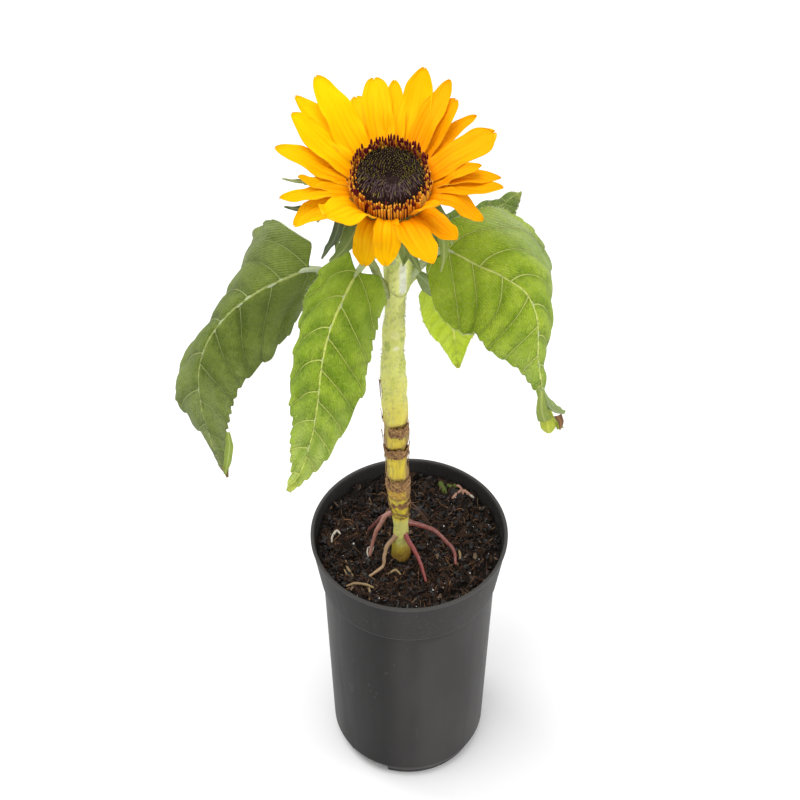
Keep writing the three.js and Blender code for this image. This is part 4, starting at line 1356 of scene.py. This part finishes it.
# Distance in millimetres to the nearest side vein, from across and along the blade.
def veinDistance(across, along, spacing, curves):
    out = abs(across)
    onLeft = across > 0
    lean, bend = (curves["right"][i] + (curves["left"][i] - curves["right"][i]) * onLeft for i in (0, 1))
    start = along - out * lean - out * out * bend
    ahead, behind = most(start, 0), least(start, 0)
    fan = behind * veinForm["fan"] / (out + 6) / spacing
    count = ahead * (1 + veinForm["close"] * ahead / (9 * spacing)) / spacing + fan
    count = count + veinForm["offset"] * onLeft * smooth(0, 1, count)
    return abs(count - whole(count + 0.5)) * spacing * veinForm["thin"]


def ribLength(leaf):
    line = spline(leaf["rib"], np.linspace(0, 1, 200))
    return np.linalg.norm(np.diff(line, axis=0), axis=1).sum()


def leafShape(leaf, seed):
    t = np.linspace(0, 1, blade["rows"])
    u = np.sin(np.linspace(-1, 1, blade["columns"]) * 1.15) / math.sin(1.15)
    line = spline(leaf["rib"], t)
    along = np.concatenate([[0], np.cumsum(np.linalg.norm(np.diff(line, axis=0), axis=1))])
    length = along[-1]
    ahead, behind = np.minimum(t + blade["chord"], 1), np.maximum(t - blade["chord"], 0)
    forward = unit(spline(leaf["rib"], ahead) - spline(leaf["rib"], behind))
    side = unit(np.cross(forward, unit(np.array(leaf["face"], float))))
    normal = np.cross(side, forward)
    half = np.maximum(spline(leaf["half"], t), 1) * (1 - 0.35 * np.maximum(1 - t / 0.1, 0) ** 2)
    left, right = (np.radians(spline(leaf[hand], t))[:, None] for hand in ("left", "right"))

    t, along, half, u = t[:, None], along[:, None], half[:, None], u[None]
    reach, hand = np.abs(u), np.sign(u)
    droop = np.where(hand > 0, left, right) * mix(0.55, 1, reach)
    gap = blade["toothGap"] * (0.75 + length / 600)
    phase = along / gap * (1 + 0.15 * np.sin(along / 17 + hand)) + 0.37 * hand
    tooth = blade["tooth"] * leaf["teeth"] * length / 140 * np.sin((phase % 1) ** 1.5 * 2.3)
    tooth = tooth * smooth(0.01, 0.1, t) * smooth(1, 0.93, t) * smooth(0.72, 1, reach)
    width = half * reach + tooth
    lobe = np.where(hand > 0, *leaf["lobes"]) * np.maximum(1 - t / 0.2, 0) ** 1.5
    back = lobe * reach ** 1.3 * (1 - 0.45 * reach ** 5)
    outward = side[:, None] * (hand * np.cos(droop))[..., None] - normal[:, None] * np.sin(droop)[..., None]
    upward = np.cross(outward, forward[:, None]) * hand[..., None]
    upward = np.where(hand[..., None] == 0, normal[:, None], upward)
    across, far = width * hand, along - back
    distance = veinDistance(across, far, length / veinForm["gap"], leaf["veins"])
    inner = smooth(1, 0.8, reach) * smooth(0, 0.06, t) * smooth(1, 0.9, t)
    quilt = blade["quilt"] * (1 - np.exp(-(distance / 3.4) ** 2)) * inner
    spot = np.stack([across / 22, far / 24], -1)
    wave = blade["wave"] * reach ** 2.2 * ripple(spot, 1, seed) + 1.0 * ripple(spot / 2, 1, seed + 1) * reach
    groove = -0.6 * np.exp(-(across / 1.3) ** 2)
    rise = quilt + wave * smooth(0, 0.15, t) + groove * smooth(1, 0.8, t)
    points = (line[:, None] + outward * width[..., None] + upward * rise[..., None]
              + forward[:, None] * (0.6 * tooth - back)[..., None])
    return sheet(points, np.full(across.shape, blade["thickness"]), np.stack([across, far], -1))


# The stalk runs on under the blade as its midrib.
def stalkShape(leaf, seed):
    path = np.array(leaf["stalk"] + leaf["rib"][:-1], float)
    t = np.linspace(0, 1, 150)
    line = spline(path, t)
    radius = mix(2.5, 0.6, smooth(0, 0.75, t)) + 1.3 * smooth(0.1, 0, t) + 0.08 * ripple(line, 5, seed)
    onRib = smooth(1.5, 3, t * (len(path) - 1))
    line = line - unit(np.array(leaf["face"], float)) * ((radius + 0.1) * onRib)[:, None]
    shape = tube(line, radius, 14)
    shape.looks[:] = 2
    return shape


def leafLook(name, leaf, tint, pale, vein, sheen, under=False):
    look = Look(name)
    across, along = look.plan()
    flat = look.vector(across, along)
    length = ribLength(leaf)
    distance = veinDistance(across, along, length / veinForm["gap"], leaf["veins"])
    cloud = look.noise(flat, 17, 3, 0.55)
    mottle = look.noise(flat, 3.2, 4)
    grain = look.noise(flat, 0.7, 2)
    long = look.noise(look.vector(across / 5, along / 40), 1, 3, 0.55)
    rungs = sine(4.6 * (abs(across) - 0.3 * along) + 9 * cloud + 3 * mottle)
    rib = smooth(0.85, 0.3, abs(across) + along * 0.004)
    veins = smooth(0.48, 0.14, distance + 0.006 * abs(across))
    fine = smooth(0.42, 0.1, look.cells(look.vector(across, along, cloud * 3), 4.2))
    tiny = smooth(0.2, 0.05, look.cells(look.vector(across + 4 * mottle, along), 1.7))
    dark = tuple(0.5 * value for value in tint)
    # Painted sheen of the whitish hairs at the margins and the tip: partly their own colour, partly light
    # they catch.
    onLeft, onRight, onTip = leaf["paintedSheen"]
    margin = onLeft * smooth(12, 30, across) + onRight * smooth(-12, -30, across)
    paintedSheen = (margin + onTip * smooth(0.45, 0.95, along / length)) * (0.45 + 0.9 * smooth(0.35, 0.65, long))
    color = look.coats(
        tint,
        (pale, smooth(0.38, 0.62, cloud) * 0.8),
        (dark, smooth(0.46, 0.68, mottle) * 0.55),
        (dark, smooth(0.2, 1.0, rungs) * 0.32),
        # Painted shade of the quilting: darker beside the veins; painted light: paler in the middle of the
        # cells between them.
        (dark, smooth(2.4, 0.6, distance) * 0.4),
        (pale, smooth(2.5, 6, distance) * 0.3),
        (pale, smooth(0.34, 0.05, along / length) * 0.35),
        (leaf["paintedSheenTint"], least(paintedSheen, 0.85) * (0.7 + 0.5 * smooth(0.4, 0.6, grain))),
        (vein, tiny * 0.07),
        (vein, fine * 0.09),
        (vein, veins * 0.85),
        (vein, rib * 0.85),
        (vein, smooth(0.60, 0.68, grain) * 0.28),
        (leaf["dry"], smooth(length - 7, length - 1, along + 3 * mottle) * 0.85),
    )
    height = (1 if under else -1) * (0.45 * veins + 0.22 * fine + 0.08 * tiny + 0.4 * rib)
    height = height + 0.3 * mottle + 0.15 * grain - 0.14 * rungs
    through = leaf["glow"], leaf.get("passed", blade["passed"])
    return look.surface(color, 0.50 + 0.15 * mottle, height, through, 0.12, sheen)


def stalkLook(name, tint, pale):
    look = Look(name)
    *_, at = look.place()
    fine = look.noise(at, 1.5)
    color = look.coats(
        tint,
        (pale, smooth(0.4, 0.7, look.noise(at, 9, 2, 0.5)) * 0.7),
        ((0.75, 0.80, 0.5), smooth(0.55, 0.7, fine) * 0.35),
    )
    return look.surface(color, 0.55, 0.25 * fine, (0.15, (0.7, 0.8, 0.2)))


def marginHairs(grid, rng):
    count = marginForm["count"]
    row = rng.integers(1, len(grid) - 1, count)
    onLeft = rng.uniform(0, 1, count)[:, None] < 0.5
    feet = np.where(onLeft, grid[row, 0], grid[row, -1])
    inside = np.where(onLeft, grid[row, 4], grid[row, -5])
    ways = unit(feet - inside) + rng.normal(0, 0.35, (count, 3))
    return hairs(feet, ways, rng.uniform(*marginForm["length"], count), marginForm["radius"])


marginFuzz = []
for i, (name, leaf) in enumerate(leaves.items()):
    palest = tuple(mix(value, 0.6, 0.3) for value in leaf["under"])
    looks = [
        leafLook(f"leaf {name} top", leaf, leaf["tint"], leaf["pale"], leaf["vein"], leaf["sheen"]),
        leafLook(f"leaf {name} under", leaf, leaf["under"], palest, palest, 0.1, under=True),
        stalkLook(f"leaf {name} stalk", palest, leaf["under"]),
    ]
    seed = 200 + 10 * i
    shape = leafShape(leaf, seed)
    addPiece("blade_" + name, join([shape, stalkShape(leaf, seed)]), looks, ["leaf_" + name])
    grid = shape.points[:blade["rows"] * blade["columns"]].reshape(blade["rows"], blade["columns"], 3)
    marginFuzz.append(marginHairs(grid, np.random.default_rng(400 + i)))
addPiece("marginFuzz", join(marginFuzz), [hairLook])


# Small folds and bracts that hang free: middles, way or ways across, half widths, cup and look
folds = {
    "cup": ([(67.4, -76, 380), (68.6, -77.5, 375.5), (69.6, -78.5, 371), (70.3, -78, 367.2),
             (70.8, -76, 364.6)], (1, 0, 0.25), (2.0, 3.5, 3.8, 3.2, 0.8), 2.2, "lime"),
    "strap": ([(65.2, -74, 393.5), (65.3, -77, 387), (66, -78, 381.5), (67.6, -78.5, 376)], (1, 0, 0.3),
              (1.4, 2.2, 3.0, 3.5), 1.2, "fresh"),
    "flange": ([(64, -73, 393), (68.2, -76, 386.6), (72.6, -77, 382), (77, -76, 378.8)], (0.5, -0.4, 1),
               (1.4, 3.0, 3.3, 1.3), 1.2, "sage"),
    "shoulder": ([(3.4, -5, 410), (8, -5, 404.5), (12, -4, 398), (16, -3, 391)], (0.7, 0, 0.7),
                 (1.5, 4.4, 5, 2), 0.4, "sage"),
    "husk": ([(74, -77, 378.5), (75.6, -77.5, 375), (76, -77.5, 371.5), (75.8, -77, 368)], (1, 0, 0),
             (2.0, 1.5, 0.8, 0.15), 0.5, "rust"),
    "flap": ([(-98.5, -38, 324.6), (-97.8, -42, 318.8), (-99, -46, 310.9), (-101, -49, 303)],
             [(1, -0.5, 0), (1, -0.6, 0), (1, -0.5, 0), (1, -0.3, 0)], (1.0, 2.4, 2.2, 0.6), -0.8, "fresh"),
    "bractA": ([(-33, -34, 478), (-37, -38, 464), (-40.8, -38, 456.5), (-43.9, -38, 449.3)], (1, 0, 0.3),
               (2.4, 2.2, 1.4, 0.3), 0.5, "dark"),
    "bractB": ([(-24, -32, 476), (-27.5, -36, 466), (-33, -37, 455), (-40.1, -36, 445.6)], (1, 0, 0.5),
               (4.6, 4.8, 3.2, 0.4), 0.8, "olive"),
    "bractC": ([(12, -20, 462), (15.8, -22, 448), (16.5, -22, 437), (15.2, -22, 426.4)], (1, 0, 0),
               (2.6, 2.6, 1.6, 0.3), 0.5, "fresh"),
    "bractD": ([(-8, -27, 453), (-3.1, -27, 447.5), (0.9, -26, 439.6), (4.5, -24, 428.2)], (0.8, 0, 0.6),
               (2.2, 2.6, 2.2, 0.5), 0.6, "olive"),
    "bractE": ([(-34, -12, 478), (-45.8, -12, 477.8), (-55, -12, 477), (-63.4, -12, 478.5)], (0, 0.8, 0.5),
               (2.2, 1.7, 1.0, 0.15), 0.3, "sage"),
    "bractF": ([(-34, -20, 474), (-46, -20, 468.5), (-55, -20, 466.3), (-62.5, -20, 467.4)], (0, 0.8, 0.6),
               (2.6, 2.2, 1.4, 0.2), 0.3, "dark"),
}
foldTints = {
    "lime": ((0.42, 0.50, 0.03), (0.78, 0.78, 0.12)), "sage": ((0.26, 0.34, 0.10), (0.52, 0.60, 0.34)),
    "rust": ((0.14, 0.06, 0.02), (0.42, 0.22, 0.06)), "dark": ((0.045, 0.07, 0.018), (0.16, 0.20, 0.08)),
    "olive": ((0.12, 0.18, 0.02), (0.34, 0.40, 0.10)), "fresh": ((0.24, 0.32, 0.04), (0.50, 0.57, 0.17)),
}


def foldShape(points, ways, halves, cup):
    t = np.linspace(0, 1, 44)
    line = spline(points, t)
    forward = unit(spline(points, t, slope=True))
    way = spline(np.broadcast_to(ways, np.shape(points)), t)
    way = unit(way - forward * (way * forward).sum(-1, keepdims=True))
    normal = np.cross(way, forward)
    u = np.linspace(-1, 1, 15)[None]
    t = t[:, None]
    across = u * spline(halves, t[:, 0])[:, None]
    rise = cup * u ** 2 + 0.25 * u ** 2 * np.sin(t * 21)
    middle = line[:, None] + way[:, None] * across[..., None] + normal[:, None] * rise[..., None]
    return sheet(middle, np.full(rise.shape, 0.5), np.stack([across, t * 20 + 8 + 0 * u], -1))


foldLooks = {name: bractLook("fold " + name, *tints) for name, tints in foldTints.items()}
for name, (*form, tone) in folds.items():
    addPiece("fold_" + name, foldShape(*form), [foldLooks[tone]] * 2)

# The hairy stalk that rises beside the neck to the front leaf
neckStalk = {
    "path": [(-10, -11, 398), (-12, -13, 404), (-14.2, -15, 411), (-16.8, -17, 419), (-19.4, -20, 429.5),
             (-23, -22, 437)],
    "radii": (1.7, 2.3),
    "tints": ((0.26, 0.30, 0.08), (0.44, 0.48, 0.20)),
}
t = np.linspace(0, 1, 60)
line = spline(neckStalk["path"], t)
shape = tube(line, mix(*neckStalk["radii"], t) + 0.12 * ripple(line, 3, 77), 16)
addPiece("neckStalk", shape, [stalkLook("neck stalk", *neckStalk["tints"])])
print("leaves done")


# Floor, lights and camera, in metres
studio = {
    "floor": (3, -0.0002, (0.9, 0.9, 0.9)),  # half side, height and colour
    "world": 0.9,
    "aim": (0, 0, 0.3),
    "lights": {  # place, side and power
        "leftLight": ((-0.9, 0.6, 1.4), 0.6, 5),
        "rightLight": ((1.2, -0.3, 0.5), 0.6, 3),
        "topLight": ((-0.2, -0.2, 1.7), 0.7, 14),
    },
    "camera": {"place": (-0.0056, -0.7016, 1.0377), "tilt": 43.96, "lens": 81, "sensor": 36, "near": 0.01},
}


def floorPiece():
    half, height, tint = studio["floor"]
    corners = [(x * half, y * half, height) for x, y in ((-1, -1), (1, -1), (1, 1), (-1, 1))]
    mesh = bpy.data.meshes.new("floor")
    mesh.from_pydata(corners, [], [(0, 1, 2, 3)])
    mesh.materials.append(plainLook("floor white", tint, 0.9))
    floor = bpy.data.objects.new("floor", mesh)
    bpy.context.scene.collection.objects.link(floor)


def areaLight(name, place, size, power):
    light = bpy.data.lights.new(name, "AREA")
    light.shape = "SQUARE"
    light.size = size
    light.energy = power
    lamp = bpy.data.objects.new(name, light)
    lamp.location = place
    way = np.array(place) - np.array(studio["aim"])
    down = math.acos(way[2] / np.linalg.norm(way))
    about = math.atan2(way[1], way[0]) + math.pi / 2
    lamp.rotation_euler = (down, 0, about)
    bpy.context.scene.collection.objects.link(lamp)


def addCamera(form):
    camera = bpy.data.objects.new("camera", bpy.data.cameras.new("camera"))
    camera.location = form["place"]
    camera.rotation_euler = (math.radians(form["tilt"]), 0, 0)
    camera.data.lens = form["lens"]
    camera.data.sensor_width = form["sensor"]
    camera.data.clip_start = form["near"]
    bpy.context.scene.collection.objects.link(camera)
    bpy.context.scene.camera = camera


def addWorld():
    world = bpy.data.worlds.new("studio")
    world.use_nodes = True
    background = world.node_tree.nodes["Background"].inputs
    background["Color"].default_value = (1, 1, 1, 1)
    background["Strength"].default_value = studio["world"]
    bpy.context.scene.world = world


floorPiece()
addWorld()
for name, form in studio["lights"].items():
    areaLight(name, *form)
addCamera(studio["camera"])
bpy.context.scene.view_settings.view_transform = "Standard"
print("studio done")
